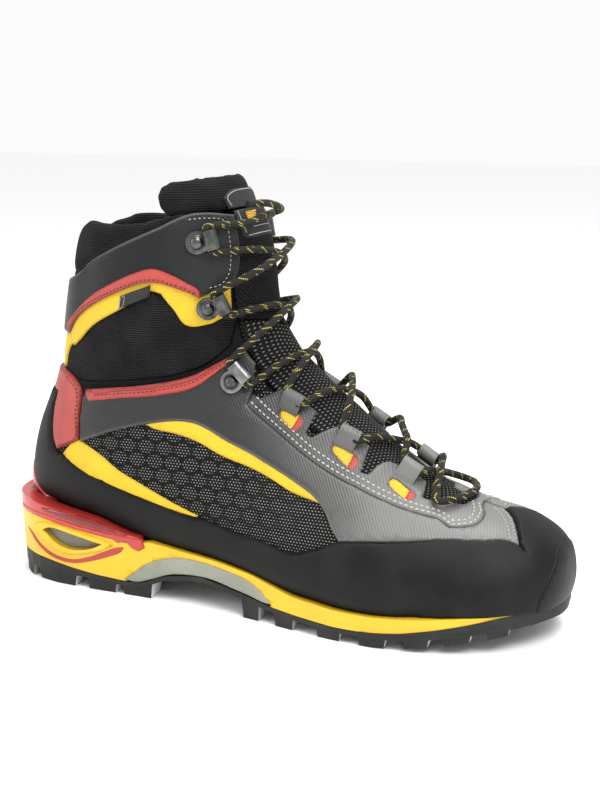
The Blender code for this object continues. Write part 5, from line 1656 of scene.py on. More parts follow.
@dataclass
class FootUpper:
    """The lower upper: mesh foot, overlays, yellow bands, red trims, rubber rand and heel tab."""

    finishes: Finishes
    main_stitch: Stitch = Stitch(2.9, 2.2, 0.95, 0.5)
    fine_stitch: Stitch = Stitch(2.3, 1.5, 0.55, 0.35)

    def panel(self, name: str, outline: list[Pair], layer: Layer, material: Material,
              slot: str, nodes: Sequence[str] = (), place: Place = on_upper,
              body: Body | Bend = Body.LOWER, corner: float = 38.0,
              flush: Sequence[Line] = ()) -> Object:
        """One sewn or bonded panel.

        Args:
            name: the panel's name.
            outline: its (s, phi) outline.
            layer: its heights and edge.
            material: its finish.
            slot: not used.
            nodes: CAD nodes that it replaces.
            place: the surface that it lies on.
            body: the body it moves with, or how it bends.
            corner: turns sharper than this stay corners.
            flush: lines along which it meets a neighbour without an edge.

        Returns:
            The panel.
        """
        obj = make_object(name, lay([flat(outline)], place, layer, corner=corner,
                                    flush=[flat(line) for line in flush]), material)
        return place_piece(obj, body, nodes)

    def build(self) -> None:
        """Build and dress every piece."""
        self.foot()
        for side, word in SIDES:
            self.side(side, word)
        self.eyestay()
        self.toe_and_heel()

    def foot(self) -> None:
        """Mesh foot and instep tongue."""
        fin = self.finishes
        throat = side_points([(104, 62), (96, 62), (75, 67), (55, 77), (36, 90), (18, 103),
                              (2, 116), (-9, 129), (-13, 137), (-17, 150)], 1)
        tongue = [(7.0, FRONT)] + throat + [(front_line(146), FRONT)]
        self.panel("instep_tongue", across_front(tongue), Layer(-2.0, 1.2, 1.2, 0.3, 0.6, 14.0),
                   fin.tongue_mesh, "dotted_mesh", ["tongue_instep"])
        grown = [(6.9, FRONT)] + [(s - 0.02, phi + 0.022) for s, phi in throat]
        ankle = side_points([(-20, 137), (-30, 128), (-46, 121.5), (-62, 118.5), (-80, 116),
                             (-100, 114), (-116, 116)], 1)
        shell = foot_edge(3.5) + [(back_line(118), BACK)] + ankle[::-1] + grown[::-1]
        foot = make_object("mesh_foot", lay(halves(shell), on_upper, SHELL, closed_round=True),
                           fin.quarter_mesh)
        place_piece(foot, Body.LOWER, ["lower_shell"])

    def side(self, side: int, word: str) -> None:
        """Quarter overlay, yellow bands, ankle trim, rand and their stitches on one side.

        Args:
            side: -1 outside, +1 inside.
            word: the side's name.
        """
        fin = self.finishes
        top = TRIM_HIGH[::-1] + ((-8.5, 128), (-8, 114)) + STITCH_LINE
        foot = RAND_TOP_FRONT + QUARTER_LOW + ((-102, 98), (-101, 105))
        outline = side_points(top, side)
        outline += mirrored(STITCH_TOE + TOE_SEAM, side)
        outline += side_points(foot, side)
        self.panel(f"quarter_{word}", outline, OVERLAY, fin.coat, "grey_overlay",
                   [f"quarter_overlay_{word}"])
        upper_band = [(-66, 97), (-50, 100), (-38, 100), (-17, 92), (6, 83), (20, 77), (35, 69),
                      (42, 62.5), (37, 64.5), (21, 68.5), (7, 74.2), (-17, 81), (-32, 87),
                      (-48, 91)]
        self.panel(f"yellow_upper_band_{word}", side_points(upper_band, side), UNDERLAY,
                   fin.yellow, "yellow_panel", [f"upper_band_{word}"])
        lower_band = [(-106, 84), (-95, 78), (-86, 73), (-71, 64), (-54, 57), (-32, 49.5),
                      (-34, 47), (-57, 50), (-75, 54), (-92, 60), (-106, 66), (-116, 73)]
        self.panel(f"yellow_lower_band_{word}", side_points(lower_band, side), UNDERLAY,
                   fin.yellow, "yellow_panel", [f"lower_band_{word}"])
        self.trim(side, word)
        rand = side_points(RAND_TOP_FRONT + RAND_TOP_MIDDLE + REAR_SEAM + RAND_LOW, side)
        toe_line = mirrored(TOE_SEAM[-1:] + TOE_SIDE, side)
        rand += toe_line[::-1]
        heel_line = side_points(REAR_SEAM, side)
        self.panel(f"rubber_rand_{word}", rand, RUBBER, fin.rubber, "black_rubber",
                   [f"rand_{word}"], on_rim, flush=[toe_line, heel_line])
        seam = side_points(STITCH_LINE, side) + mirrored(STITCH_TOE, side)
        for number, offset in enumerate((1.4, 3.4), 1):
            sew(f"seam_stitches_{word}_{number}", [seam], ON_OVERLAY, self.main_stitch,
                fin.pale_thread, offset=side * offset)
        toe = mirrored(TOE_SEAM, side)
        for number, offset in enumerate((1.5, 3.6), 1):
            sew(f"toe_stitches_{word}_{number}", [toe], ON_OVERLAY, self.fine_stitch,
                fin.pale_thread, offset=-side * offset)

    def trim(self, side: int, word: str) -> None:
        """Red ankle trim with its rolled upper strip and stitches.

        Args:
            side: -1 outside, +1 inside.
            word: the side's name.
        """
        fin = self.finishes
        middle = [((a[0] + b[0]) / 2, (a[1] + b[1]) / 2) for a, b in zip(
            TRIM_HIGH, TRIM_LOW[::-1])]
        self.panel(f"red_trim_{word}", side_points(TRIM_HIGH + TRIM_LOW, side), TRIM, fin.red,
                   "red_trim", [f"ankle_trim_{word}"])
        fold = [(x, z + 0.5) for x, z in TRIM_HIGH] + [(x, z + 0.8) for x, z in middle[::-1]]
        self.panel(f"red_fold_{word}", side_points(fold, side), Layer(3.0, 4.4, 1.1, 0.3),
                   fin.red_fold, "red_trim")
        sew(f"trim_stitches_{word}", [side_points(middle, side)], ON_TRIM, self.fine_stitch,
            fin.dark_thread)

    def eyestay(self) -> None:
        """The U of grey fabric round the lacing, with a slot of webbing in each tab."""
        fin = self.finishes
        half = [(7.28, FRONT)] + list(STITCH_TOE[:-1][::-1])
        half += side_points(STITCH_LINE[::-1] + EYESTAY_TABS, 1) + [(7.75, 0.25), (7.6, FRONT)]
        stay = make_object("eyestay_tabs", lay([flat(across_front(half))], on_upper,
                                               Layer(0.05, 2.6, 1.0, 0.5)), fin.coat)
        for side, word in SIDES:
            for number, spot in enumerate(SLOTS_AT, 1):
                self.slot_webbing(stay, side, word, number, spot)
        place_piece(stay, Body.LOWER, ["eyestay"])

    def slot_webbing(self, stay: Object, side: int, word: str, number: int,
                     spot: Pair) -> None:
        """Cut one slot into the eyestay and show the webbing in it.

        Args:
            stay: the eyestay.
            side: -1 outside, +1 inside.
            word: the side's name.
            number: the slot's number from the ankle down.
            spot: (x, z) of its middle.
        """
        fin = self.finishes
        s, phi = side_points([spot], side)[0]
        u, v = s * ALONG, phi * ROUND
        ring = np.linspace(0, 2 * math.pi, 20, endpoint=False)
        lean = math.radians(-8 * side)
        x, y = (size * np.sign(c) * np.abs(c) ** 0.6 for size, c in (
            (SLOT_HALF[0], np.cos(ring)), (SLOT_HALF[1], np.sin(ring))))
        oval = np.stack([u + x * math.cos(lean) - y * math.sin(lean),
                         v + x * math.sin(lean) + y * math.cos(lean)], axis=1)
        cut_away(stay, lay([oval], on_upper, Layer(-1.0, 6.0, 0.1, 0.99), (40.0, 40.0)))
        big = [tuple(np.array((u, v)) + 1.16 * (p - np.array((u, v)))) for p in oval]
        web = make_object(f"slot_webbing_{word}_{number}", lay(
            [big], on_upper, Layer(0.1, 1.5, 1.2, 0.3, 0.35, 3.0), (1.2, 1.2)), fin.webbing)
        place_piece(web, Body.LOWER)
        cut = u - 1.7
        end = [p for p in big[6:15] if p[0] < cut]
        red = make_object(f"slot_edge_{word}_{number}", lay(
            [[(cut, end[0][1])] + end + [(cut, end[-1][1])]], on_upper,
            Layer(1.0, 2.4, 0.6, 0.5), (1.2, 1.2)), fin.red)
        place_piece(red, Body.LOWER)

    def toe_and_heel(self) -> None:
        """Rubber toe cap and heel counter, and the red heel tab."""
        fin = self.finishes
        toe = [(6.5, FRONT)] + list(TOE_SEAM[1:] + TOE_SIDE) + [(0.12, 0.3), (0.12, FRONT)]
        edges = [mirrored(TOE_SEAM[-1:] + TOE_SIDE, side) for side, _ in SIDES]
        self.panel("rubber_toe_cap", across_front(toe), RUBBER, fin.rubber, "black_rubber",
                   ["toe_cap"], on_rim, flush=edges)
        bumper = [(3.58, 0.0), (3.58, 0.155), (3.12, 0.293), (2.58, 0.45), (1.8, 0.572),
                  (0.9, 0.62), (0.12, 0.62), (0.12, 0.3), (0.12, FRONT)]
        self.panel("rubber_bumper", across_front(bumper), Layer(3.0, 4.1, 1.2, 0.2), fin.rubber,
                   "black_rubber", (), on_rim)
        counter = side_points(REAR_SEAM[:1] + RAND_TOP_HEEL + (
            (-123.5, 78), (-124.6, 88), (-123.5, 97), (-121.5, 104)), 1)
        counter += [(back_line(107), BACK), (back_line(75), BACK), (back_line(50), BACK)]
        counter += side_points(((-140, 49), (-128, 46.5), (-111, 44.6), (-95, 42.6))
                               + REAR_SEAM[:0:-1], 1)
        front = side_points(REAR_SEAM, 1)
        edges = [front, [(s, 2 * math.pi - phi) for s, phi in front]]
        self.panel("rubber_heel_counter", across_back(counter), RUBBER, fin.rubber,
                   "black_rubber", ["heel_counter"], on_rim, flush=edges)
        tab = [(back_line(118), BACK), (back_line(108), BACK)]
        tab += side_points([(-120.5, 105.2), (-122.4, 98), (-123.4, 89), (-122.4, 79),
                            (-119.6, 74.6), (-103.5, 82.2), (-103, 98), (-102.4, 105),
                            (-104, 111), (-115, 117)], 1)
        self.panel("red_heel_tab", across_back(tab), Layer(0.05, 2.9, 0.9, 0.5), fin.red_tab,
                   "red_trim", ["heel_tab"])
        for side, word in SIDES:
            line = side_points([(-118.6, 76.6), (-105, 83.6), (-104.6, 98), (-104, 105),
                                (-105.6, 110.4), (-114, 115.6)], side)
            sew(f"heel_tab_stitches_{word}", [line], ON_TAB, self.fine_stitch, fin.dark_thread)


# ---------- ankle, cuff and tongue
ANKLE_BEND = Bend((-70.0, 0.0, 116.0), (-72.8, 0.0, 129.0))
SHIN_BEND = Bend((-10.0, 0.0, 148.0), (-10.0, 0.0, 176.0))


@dataclass
class Ankle(FootUpper):
    """Lining, soft ankle ring and shin tongue, which bend at the ankle."""

    def build(self) -> None:
        """Build and dress every piece."""
        fin = self.finishes
        edge = [(1.9, FRONT), (1.9, 0.35), (1.9, 0.7)] + foot_edge(12.0)[3:]
        rim = [(back_line(176), BACK)] + side_points(
            [(-106, 182), (-92, 189), (-76, 192), (-55, 197.5), (-40, 197.5), (-31, 196)], 1)
        rim += [(24.5, 0.9), (24.4, 0.5), (24.4, FRONT)]
        lining = make_object("lining_sock", lay(halves(edge + rim), on_upper,
                                                Layer(-6.0, -2.6, 0.6), closed_round=True),
                             fin.lining)
        place_piece(lining, ANKLE_BEND, ["lining"])
        low = side_points([(-18.5, 149), (-21, 138.5), (-31, 129.5), (-46, 123), (-62, 120),
                           (-80, 117.5), (-100, 115.5), (-116, 117.5)], 1)
        low = [(s - 0.12, phi) for s, phi in low]
        high = side_points([(-19.5, 153), (-21, 154.5), (-28, 151), (-40, 150), (-47, 159),
                            (-56, 165), (-66, 160), (-79, 153), (-94, 144.5), (-106, 135),
                            (-112, 133)], 1)
        ring = low + [(back_line(118.5), BACK), (back_line(135), BACK)] + high[::-1]
        self.panel("ankle_knit", across_back(ring), Layer(-2.2, -0.1, 0.8, 0.5, 1.0, 12.0),
                   fin.knit, "black_textile", ["ankle_textile"], body=ANKLE_BEND)
        shin = [(front_line(146), FRONT)]
        shin += side_points([(-17.5, 150), (-18.6, 165), (-19.4, 178), (-19.6, 190), (-20, 200)], 1)
        shin += [(front_line(204.5), FRONT)]
        self.panel("shin_tongue", across_front(shin), Layer(-2.0, 1.0, 1.2, 0.3, 0.5, 10.0),
                   fin.knit, "black_textile", ["tongue_shin"], body=SHIN_BEND)


@dataclass
class Cuff(FootUpper):
    """Cuff shell, grey band, red trims, yellow pieces, padded collar and tag."""

    def build(self) -> None:
        """Build and dress every piece."""
        fin = self.finishes
        edge = [(-21, 203), (-20.6, 190), (-20, 176), (-20, 165), (-20, 153.5)]
        low = [(-28, 150), (-40, 149), (-47, 158), (-56, 164.2), (-66, 159.2), (-79, 152),
               (-94, 143.6), (-106, 134.4), (-112, 132)]
        shell = side_points(edge + low, 1) + [(back_line(134), BACK), (back_line(170), BACK)]
        shell += side_points([(-102, 176), (-92, 183), (-76, 191), (-53, 201), (-38, 204)], 1)
        self.panel("cuff_knit", across_back(shell), SHELL, fin.knit, "black_textile",
                   ["cuff_shell"], body=Body.CUFF)
        band = side_points([(-20.5, 202.5), (-17.6, 190), (-17.2, 176), (-20, 169)], 1)
        band += side_points(CUFF_TRIM_LOW[::-1], 1)
        band += [(back_line(143), BACK), (back_line(166), BACK)] + side_points(CUFF_TOP[::-1], 1)
        self.panel("cuff_wrap", across_back(band), OVERLAY, fin.band_coat, "grey_overlay",
                   ["cuff_band"], body=Body.CUFF)
        for side, word in SIDES:
            self.side_trims(side, word)
        self.collar()
        tag = [(-74, 162), (-57, 168.4), (-57.6, 162.6), (-75, 155)]
        self.panel("care_label", side_points(tag, -1), Layer(1.2, 2.9, 0.6, 0.5), fin.badge,
                   "badge_black", ["care_tag"], body=Body.CUFF)
        border = [(-73.2, 161.4), (-71, 162.2), (-72, 157), (-74, 156.2), (-73.2, 161.4)]
        sew("care_label_mark", [side_points(border, -1)], ON_TAB, Stitch(0.9, 0.9, 0.35, 0.15),
            fin.pale_thread, Body.CUFF)

    def side_trims(self, side: int, word: str) -> None:
        """Red trim, yellow piece and stitches on one side of the cuff.

        Args:
            side: -1 outside, +1 inside.
            word: the side's name.
        """
        fin = self.finishes
        self.panel(f"cuff_red_trim_{word}", side_points(CUFF_TRIM_HIGH + CUFF_TRIM_LOW, side),
                   TRIM, fin.red, "red_trim", [f"cuff_trim_{word}"], body=Body.CUFF)
        yellow = [(-20, 169), (-20, 154), (-29, 148.6), (-37, 147), (-41, 148), (-46, 156),
                  (-52, 164), (-57, 165.5), (-65, 160), (-78, 153.4), (-94, 144.6), (-105, 135.5),
                  (-110, 132), (-113, 138), (-104, 151), (-92, 160), (-78, 167), (-60, 173),
                  (-46, 172), (-33, 168.5)]
        self.panel(f"yellow_cuff_panel_{word}", side_points(yellow, side), UNDERLAY, fin.yellow,
                   "yellow_panel", [f"cuff_underlay_{word}"], body=Body.CUFF, corner=28.0)
        strip = [(-108, 134), (-113, 138), (-119, 137), (-121.5, 128), (-121.5, 118.6),
                 (-119.6, 118.4), (-118, 125), (-114, 131)]
        self.panel(f"yellow_rear_strip_{word}", side_points(strip, side), UNDERLAY, fin.yellow,
                   "yellow_panel", body=ANKLE_BEND)
        low = side_points([(x, z + 1.4) for x, z in CUFF_TRIM_LOW[1:]], side)
        sew(f"cuff_trim_stitches_{word}", [low], ON_TRIM, self.fine_stitch, fin.dark_thread,
            Body.CUFF)
        front = side_points([(-38, 201.6), (-30, 202), (-23.6, 200), (-21, 190), (-20.6, 176),
                             (-24, 169.5), (-31, 167.2)], side)
        sew(f"cuff_front_stitches_{word}", [front], ON_OVERLAY, self.fine_stitch,
            fin.pale_thread, Body.CUFF)

    def collar(self) -> None:
        """Thick knitted collar with a rounded rim."""
        fin = self.finishes
        half = side_points([(-36, 203), (-53, 195.6), (-76, 185.6), (-92, 177.6), (-102, 170.6)], 1)
        half += [(back_line(164), BACK), (back_line(193), BACK)]
        half += side_points([(-108, 197), (-97, 200.6), (-86, 198.8), (-60, 201.4), (-44, 205),
                             (-36, 206.6)], 1)
        collar = make_object("padded_collar", lay(
            [flat(across_back(half))], on_upper, Layer(-7.0, 1.6, 5.0, 0.3, 0.0)), fin.knit)
        puff(collar, voxel=0.0032, pressure=3.0, cap=0.0025)
        place_piece(collar, Body.CUFF, ["collar"])


@dataclass
class TongueFlap(FootUpper):
    """The padded top of the tongue and its badge."""

    badge_stitch: Stitch = Stitch(0.9, 1.1, 0.5, 0.2)

    def build(self) -> None:
        """Build and dress both pieces."""
        fin = self.finishes
        flap = [(25.75, FRONT), (25.75, 0.45), (25.75, 0.9), (25.8, 1.22), (26.5, 1.33),
                (27.2, 1.33), (27.7, 1.22), (27.95, 0.95), (28, 0.5), (28, FRONT)]
        pad = make_object("padded_tongue_top", lay(
            [flat(across_front(flap))], on_upper, Layer(-7.4, -2.2, 3.0, 0.4)), fin.knit)
        puff(pad, voxel=0.0022, pressure=3.0, cap=0.002)
        place_piece(pad, Body.TONGUE, ["tongue_top"])
        label = [(25.9, FRONT), (25.9, 0.42), (26.6, 0.45), (27.0, 0.3), (27.05, FRONT)]
        self.panel("tongue_badge", across_front(label), Layer(-2.4, -0.9, 0.6, 0.5), fin.badge,
                   "badge_black", ["tongue_label"], body=Body.TONGUE)
        border = [(25.95, 0.37), (26.55, 0.4), (26.88, 0.26), (26.95, 0.0), (26.88, -0.26),
                  (26.55, -0.4), (25.95, -0.37)]
        sew("badge_border", [border], -0.85, self.badge_stitch, fin.pale_thread,
            Body.TONGUE)
        low = [(25.75, FRONT), (25.75, 0.42), (24.3, 0.4), (24.15, 0.3), (24.1, FRONT)]
        self.panel("badge_lower_part", across_front(low), Layer(0.9, 1.7, 0.6, 0.5), fin.badge,
                   "badge_black", body=Body.CUFF)
        sides = [[(25.7, side * 0.37), (24.4, side * 0.35)] for side in (-1, 1)]
        bars = [[(24.32, -0.33), (24.3, 0.0), (24.32, 0.33)], [(24.75, -0.22), (24.75, 0.22)]]
        sew("badge_lower_border", sides + bars, 1.75, self.badge_stitch, fin.pale_thread,
            Body.CUFF)
        patch = [(25.6, 0.05), (25.6, 0.26), (25.0, 0.26), (24.95, 0.12)]
        self.panel("badge_patch", [(s, -phi) for s, phi in patch], Layer(1.6, 2.0, 0.3, 0.5),
                   fin.webbing, "badge_black", body=Body.CUFF)


# ---------- metal parts and lace
CLEAT_AT, MID_HOOK_AT, TOP_HOOK_AT = (-18.5, 118.5), (-30, 157.5), (-34, 190.5)
LOOPS_AT = ((13.5, 109.5), (42, 92.5), (71.5, 75.8))
HOOK_THROAT, CLEAT_THROAT = (7.4, 3.4), (6.6, 3.5)
HARDWARE_BASE = 3.25
LOOP_HEIGHT = 6.9
FOLD_HALF = 5.4
LACE_LOW, LACE_HIGH = 4.9, 10.0
LACE_RADIUS = 1.9
LACE_SIDES = 14


def round_edges(bm: BMesh, edges: Sequence[bmesh.types.BMEdge], size: float) -> None:
    """Round edges over with a small bevel.

    Args:
        bm: the mesh.
        edges: the edges.
        size: how far the bevel reaches.
    """
    bmesh.ops.bevel(bm, geom=edges, offset=size, offset_type="OFFSET", affect="EDGES",
                    segments=2, profile=0.5, material=-1, clamp_overlap=True)


def facing_front(s: float, phi: float, side: int) -> float:
    """Turn that points a piece's +X across the skin to the front line.

    Args:
        s: the piece's station.
        phi: its angle.
        side: -1 outside, +1 inside.

    Returns:
        The turn, in radians.
    """
    towards = SKIN.point(s, phi - side * 0.15) - SKIN.point(s, phi)
    local = SKIN.frame(s, phi).to_3x3().inverted() @ towards
    return math.atan2(local.y, local.x)


@dataclass
class Hardware:
    """Hooks, cleats, rivets and the folded fabric loops that hold the lace."""

    finishes: Finishes
    thickness: float = 1.2
    plate_radius: float = 5.8
    rivet_radius: float = 4.0
    lip_outer: Pair = (2.6, 3.25)
    lip_inner: Pair = (1.5, 2.1)
    lip_middle: float = 3.4
    lip_reach: float = 6.8
    fold_outer: float = 3.5
    fold_inner: float = 2.45

    def build(self) -> None:
        """Build and dress every piece on both sides."""
        fin = self.finishes
        for side, word in SIDES:
            for label, spot, body in (("top", TOP_HOOK_AT, Body.CUFF),
                                      ("mid", MID_HOOK_AT, Body.CUFF),
                                      ("ankle", CLEAT_AT, Body.LOWER)):
                s, phi = side_points([spot], side)[0]
                place = SKIN.frame(s, phi, HARDWARE_BASE) @ Matrix.Rotation(
                    facing_front(s, phi, side), 4, "Z")
                cleat = label == "ankle"
                hook = self.hook(11.0 if cleat else 10.0, 10.4 if cleat else 11.0)
                bmesh.ops.transform(hook, matrix=place, verts=hook.verts)
                node = f"ankle_cleat_{word}" if cleat else f"{label}_hook_{word}"
                obj = make_object(f"{label}_lace_hook_{word}", hook,
                                  fin.bright if cleat else fin.gunmetal, 30)
                place_piece(obj, body, [node])
                rivet = self.rivet()
                bmesh.ops.transform(rivet, matrix=place @ Matrix.Translation(
                    (0, 0, self.thickness + 0.1)), verts=rivet.verts)
                obj = make_object(f"{label}_domed_rivet_{word}", rivet, fin.gunmetal, 60)
                node = f"cleat_rivet_{word}" if cleat else f"{label}_rivet_{word}"
                place_piece(obj, body, [node])
            for number, spot in enumerate(LOOPS_AT, 1):
                self.fabric_loop(side, word, number, spot)

    def hook(self, width: float, length: float) -> BMesh:
        """A plate with a round end, and a lip bent back over the lace.

        Args:
            width: width of the bent lip.
            length: how far the plate reaches from the rivet.

        Returns:
            The hook, its rivet's place at the origin.
        """
        bm = bmesh.new()
        start = math.asin(min(0.95, width / 2 / self.plate_radius))
        arc = np.linspace(start, 2 * math.pi - start, 22)
        points = [(self.plate_radius * math.cos(a), self.plate_radius * math.sin(a)) for a in arc]
        points += [(length - 1.4, -width / 2), (length - 1.4, width / 2)]
        face = bm.faces.new([bm.verts.new((x, y, 0.0)) for x, y in points])
        extrude(bm, [face], (0, 0, self.thickness))
        (wide, high), (wide_in, high_in) = self.lip_outer, self.lip_inner
        middle, tip = length - wide, length - self.lip_reach
        turn = np.radians(np.linspace(-90, 90, 9))
        profile = [(length - 2.2, 0.15)]
        profile += [(middle + wide * math.cos(a), self.lip_middle + high * math.sin(a))
                    for a in turn]
        profile += [(tip, 6.65), (tip, 5.5)]
        profile += [(middle + wide_in * math.cos(a), self.lip_middle + high_in * math.sin(a))
                    for a in turn[::-1]]
        profile += [(length - 2.2, 1.3)]
        strip = bm.faces.new([bm.verts.new((x, -width / 2, z)) for x, z in profile])
        extrude(bm, [strip], (0, width, 0))
        bmesh.ops.recalc_face_normals(bm, faces=bm.faces)
        rims = [e for e in bm.edges if e.calc_face_angle(0.0) > math.radians(55)]
        round_edges(bm, rims, 0.28)
        return bm

    def rivet(self) -> BMesh:
        """A rivet head with a rolled rim and a low dome."""
        bm = bmesh.new()
        r = self.rivet_radius
        profile = [(0, 0), (r, 0), (r + 0.15, 0.35), (r, 0.8), (r * 0.9, 1.0), (r * 0.84, 0.85),
                   (r * 0.8, 1.2), (r * 0.62, 1.9), (r * 0.34, 2.3), (0, 2.42)]
        verts = [bm.verts.new((x, 0, z)) for x, z in profile]
        edges = [bm.edges.new(pair) for pair in zip(verts, verts[1:])]
        bmesh.ops.spin(bm, geom=verts + edges, cent=(0, 0, 0), axis=(0, 0, 1),
                       angle=2 * math.pi, steps=28, use_merge=True)
        bmesh.ops.remove_doubles(bm, verts=bm.verts, dist=1e-3)
        bmesh.ops.recalc_face_normals(bm, faces=bm.faces)
        return bm

    def fabric_loop(self, side: int, word: str, number: int, spot: Pair) -> None:
        """The tab's front end, folded round the lace.

        Args:
            side: -1 outside, +1 inside.
            word: the side's name.
            number: the loop's number from the ankle down.
            spot: (x, z) of the loop.
        """
        fin = self.finishes
        s, phi = side_points([spot], side)[0]
        turn = facing_front(s, phi, side)
        place = SKIN.frame(s, phi, 0) @ Matrix.Rotation(turn, 4, "Z")
        outer, inner, middle = self.fold_outer, self.fold_inner, LOOP_HEIGHT
        bm = bmesh.new()
        line = [(-6.8, 2.5), (-4.6, 4.2)]
        line += [(outer * math.cos(a), middle + outer * math.sin(a))
                 for a in np.linspace(math.radians(140), math.radians(-120), 16)]
        line += [(-6.0, 1.9), (-7.0, 1.3)]
        back = [(-6.6, 1.2), (-5.0, 1.3)]
        back += [(inner * math.cos(a), middle + inner * math.sin(a))
                 for a in np.linspace(math.radians(-125), math.radians(146), 16)]
        back += [(-5.0, 3.2), (-6.8, 1.2)]
        face = bm.faces.new([bm.verts.new((x, -FOLD_HALF, z)) for x, z in line + back])
        extrude(bm, [face], (0, 2 * FOLD_HALF, 0))
        bmesh.ops.recalc_face_normals(bm, faces=bm.faces)
        rims = [e for e in bm.edges if abs(e.verts[0].co.y - e.verts[1].co.y) < TINY
                and e.calc_face_angle(0.0) > math.radians(60)]
        round_edges(bm, rims, 0.3)
        layer = bm.verts.layers.float.new("edge_distance")
        for v in bm.verts:
            v[layer] = (FOLD_HALF - abs(v.co.y)) * MM
        bmesh.ops.transform(bm, matrix=place, verts=bm.verts)
        loop = make_object(f"tab_fold_{word}_{number}", bm, fin.coat, 50)
        place_piece(loop, Body.LOWER, [f"lace_loop_{word}_{number}"])


class Hold(Enum):
    """What holds the lace at a place."""

    HOOK = "hook"
    CLEAT = "cleat"
    LOOP = "loop"


@dataclass
class Lace:
    """The lace, along its whole route from one tucked end to the other."""

    finishes: Finishes

    HOLDS = ((Hold.HOOK, TOP_HOOK_AT), (Hold.HOOK, MID_HOOK_AT), (Hold.CLEAT, CLEAT_AT),
             (Hold.LOOP, LOOPS_AT[0]), (Hold.LOOP, LOOPS_AT[1]), (Hold.LOOP, LOOPS_AT[2]))

    def build(self) -> None:
        """Build and dress the lace."""
        points = soft_curve(self.route())
        obj = make_object("boot_lace", tube(points, LACE_RADIUS, LACE_SIDES),
                          self.finishes.braid, 80)
        bend = Bend((-20.0, 0.0, 126.0), (-20.0, 0.0, 150.0))
        place_piece(obj, bend, ["lace"])

    @staticmethod
    def held(hold: Hold, spot: Pair, side: int) -> tuple[list[Vector], Pair, Pair]:
        """The lace's points where it is held, and the (s, phi) of both ends.

        Args:
            hold: what holds it.
            spot: (x, z) of the place.
            side: -1 outside, +1 inside.

        Returns:
            The points, then the upper and the lower end.
        """
        s, phi = side_points([spot], side)[0]
        if hold is Hold.LOOP:
            place = SKIN.frame(s, phi, LOOP_HEIGHT)
            reach, forward = FOLD_HALF, 0.0
            run = [place @ Vector((v, 0, 0)) for v in (reach, reach / 3, -reach / 3, -reach)]
        else:
            place = SKIN.frame(s, phi, HARDWARE_BASE) @ Matrix.Rotation(
                facing_front(s, phi, side), 4, "Z")
            forward, up = CLEAT_THROAT if hold is Hold.CLEAT else HOOK_THROAT
            reach = 7.8 if hold is Hold.CLEAT else 6.6
            run = [place @ Vector((forward, v, up)) for v in (reach, 2.6, -2.6, -reach)]
            if run[0].z < run[-1].z:
                run.reverse()
        per_s = (SKIN.point(s + 0.3, phi) - SKIN.point(s - 0.3, phi)).length / 0.6
        per_phi = (SKIN.point(s, phi - side * 0.1) - SKIN.point(s, phi)).length / 0.1
        phi -= side * forward / per_phi
        return run, (s + reach / per_s, phi), (s - reach / per_s, phi)

    @staticmethod
    def crossing(start: Pair, end: Pair, level: float) -> list[Vector]:
        """Points of a run over the tongue between two (s, phi) places.

        Args:
            start: where it starts.
            end: where it ends.
            level: its height above the skin.

        Returns:
            Four points.
        """
        out = []
        for f, lift in ((0.2, 1.6), (0.4, 0.2), (0.6, 0.2), (0.8, 1.6)):
            s = start[0] + (end[0] - start[0]) * f
            phi = start[1] + (end[1] - start[1]) * f
            out.append(SKIN.point(s, phi, level + lift))
        return out

    def half(self, side: int, level: float) -> list[Vector]:
        """One half of the lace, from the top hook down to the toe.

        Args:
            side: the side it starts on.
            level: height of its first crossing.

        Returns:
            Its points.
        """
        points: list[Vector] = []
        last = None
        for hold, spot in self.HOLDS:
            run, upper, lower = self.held(hold, spot, side)
            if last:
                points += self.crossing(last, upper, level)
                level = LACE_LOW + LACE_HIGH - level
            points += run
            last, side = lower, -side
        points += self.crossing(last, (8.55, side * 0.45), level)[:3]
        return points + [SKIN.point(8.5, side * 0.45, 6.4), SKIN.point(8.0, side * 0.33, 6.0)]

    def route(self) -> list[Vector]:
        """Route points, from one tucked end down to the toe and up to the other."""
        down = [SKIN.point(25.2, 0.3, LACE_LOW), SKIN.point(25.15, 0.08, LACE_LOW),
                SKIN.point(25.1, -0.16, LACE_LOW + 0.6), SKIN.point(25.0, -0.4, LACE_LOW + 1.9)]
        down += self.half(-1, LACE_LOW) + [SKIN.point(7.7, 0.0, 5.6)]
        up = [SKIN.point(25.85, -0.3, LACE_LOW + 2), SKIN.point(25.6, -0.05, LACE_HIGH),
              SKIN.point(25.25, 0.25, LACE_HIGH)]
        return down + (up + self.half(1, LACE_HIGH))[::-1]


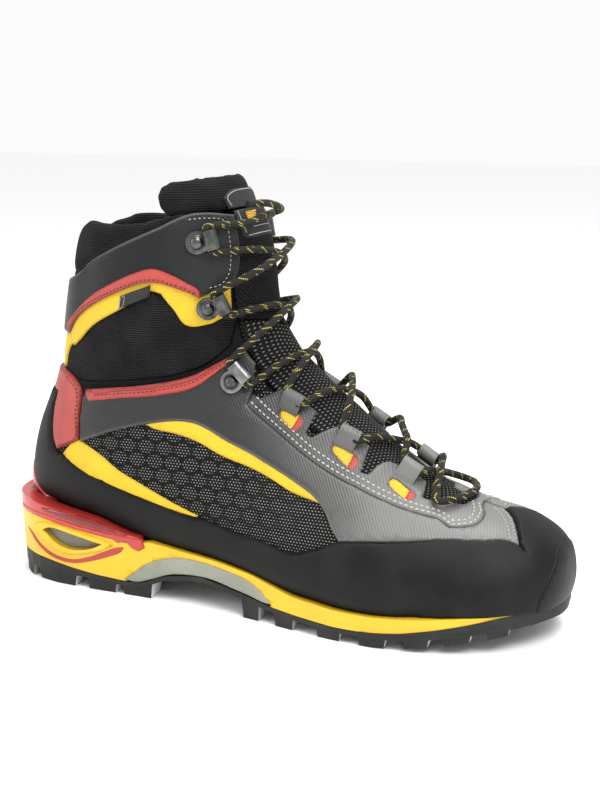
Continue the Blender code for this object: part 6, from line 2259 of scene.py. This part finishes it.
# ---------- studio
@dataclass
class Studio:
    """Pale floor, soft lights and the camera."""

    finishes: Finishes
    camera_at: Triple = (0.30755, -0.6668, 0.2694)
    looks_at: Triple = (0.00975, 0.0021, 0.1071)
    lens: float = 64.9
    surround: float = 0.97

    def build(self) -> None:
        """Build the studio."""
        bpy.context.scene.view_settings.view_transform = "Standard"
        bm = bmesh.new()
        bmesh.ops.create_grid(bm, x_segments=2, y_segments=2, size=4000.0)
        bmesh.ops.translate(bm, verts=bm.verts, vec=(0, 0, -0.2))
        make_object("studio_floor", bm, self.finishes.floor)
        world = bpy.data.worlds.new("studio")
        world.use_nodes = True
        back = world.node_tree.nodes["Background"]
        back.inputs["Color"].default_value = (1.0, 1.0, 1.0, 1.0)
        back.inputs["Strength"].default_value = self.surround
        bpy.context.scene.world = world
        self.light("key", (0.55, -0.55, 0.95), 0.55, 11.0)
        self.light("top", (0.1, 0.15, 1.1), 0.7, 9.0)
        self.light("left", (-0.8, -0.6, 0.5), 0.5, 4.0)
        self.camera()

    def light(self, name: str, place: Triple, size: float,
              power: float) -> None:
        """A square soft light that looks at the boot.

        Args:
            name: its name.
            place: where it stands, in metres.
            size: its width, in metres.
            power: its power, in watts.
        """
        data = bpy.data.lights.new(name, "AREA")
        data.size, data.energy = size, power
        lamp = bpy.data.objects.new(name, data)
        lamp.location = place
        aim = Vector(self.looks_at) - Vector(place)
        lamp.rotation_euler = aim.to_track_quat("-Z", "Y").to_euler()
        bpy.context.scene.collection.objects.link(lamp)

    def camera(self) -> None:
        """The camera."""
        data = bpy.data.cameras.new("camera")
        data.lens, data.sensor_width = self.lens, 36.0
        camera = bpy.data.objects.new("camera", data)
        camera.location = self.camera_at
        aim = Vector(self.looks_at) - Vector(self.camera_at)
        camera.rotation_euler = aim.to_track_quat("-Z", "Y").to_euler()
        bpy.context.scene.collection.objects.link(camera)
        bpy.context.scene.camera = camera


def main() -> None:
    """Build the boot and its studio."""
    finishes = Finishes()
    Studio(finishes).build()
    for assembly in (SoleUnit(finishes), FootUpper(finishes), Ankle(finishes), Cuff(finishes),
                     TongueFlap(finishes), Hardware(finishes), Lace(finishes)):
        assembly.build()
        LOG.info("%s is done", type(assembly).__name__)


if __name__ == "__main__":
    main()
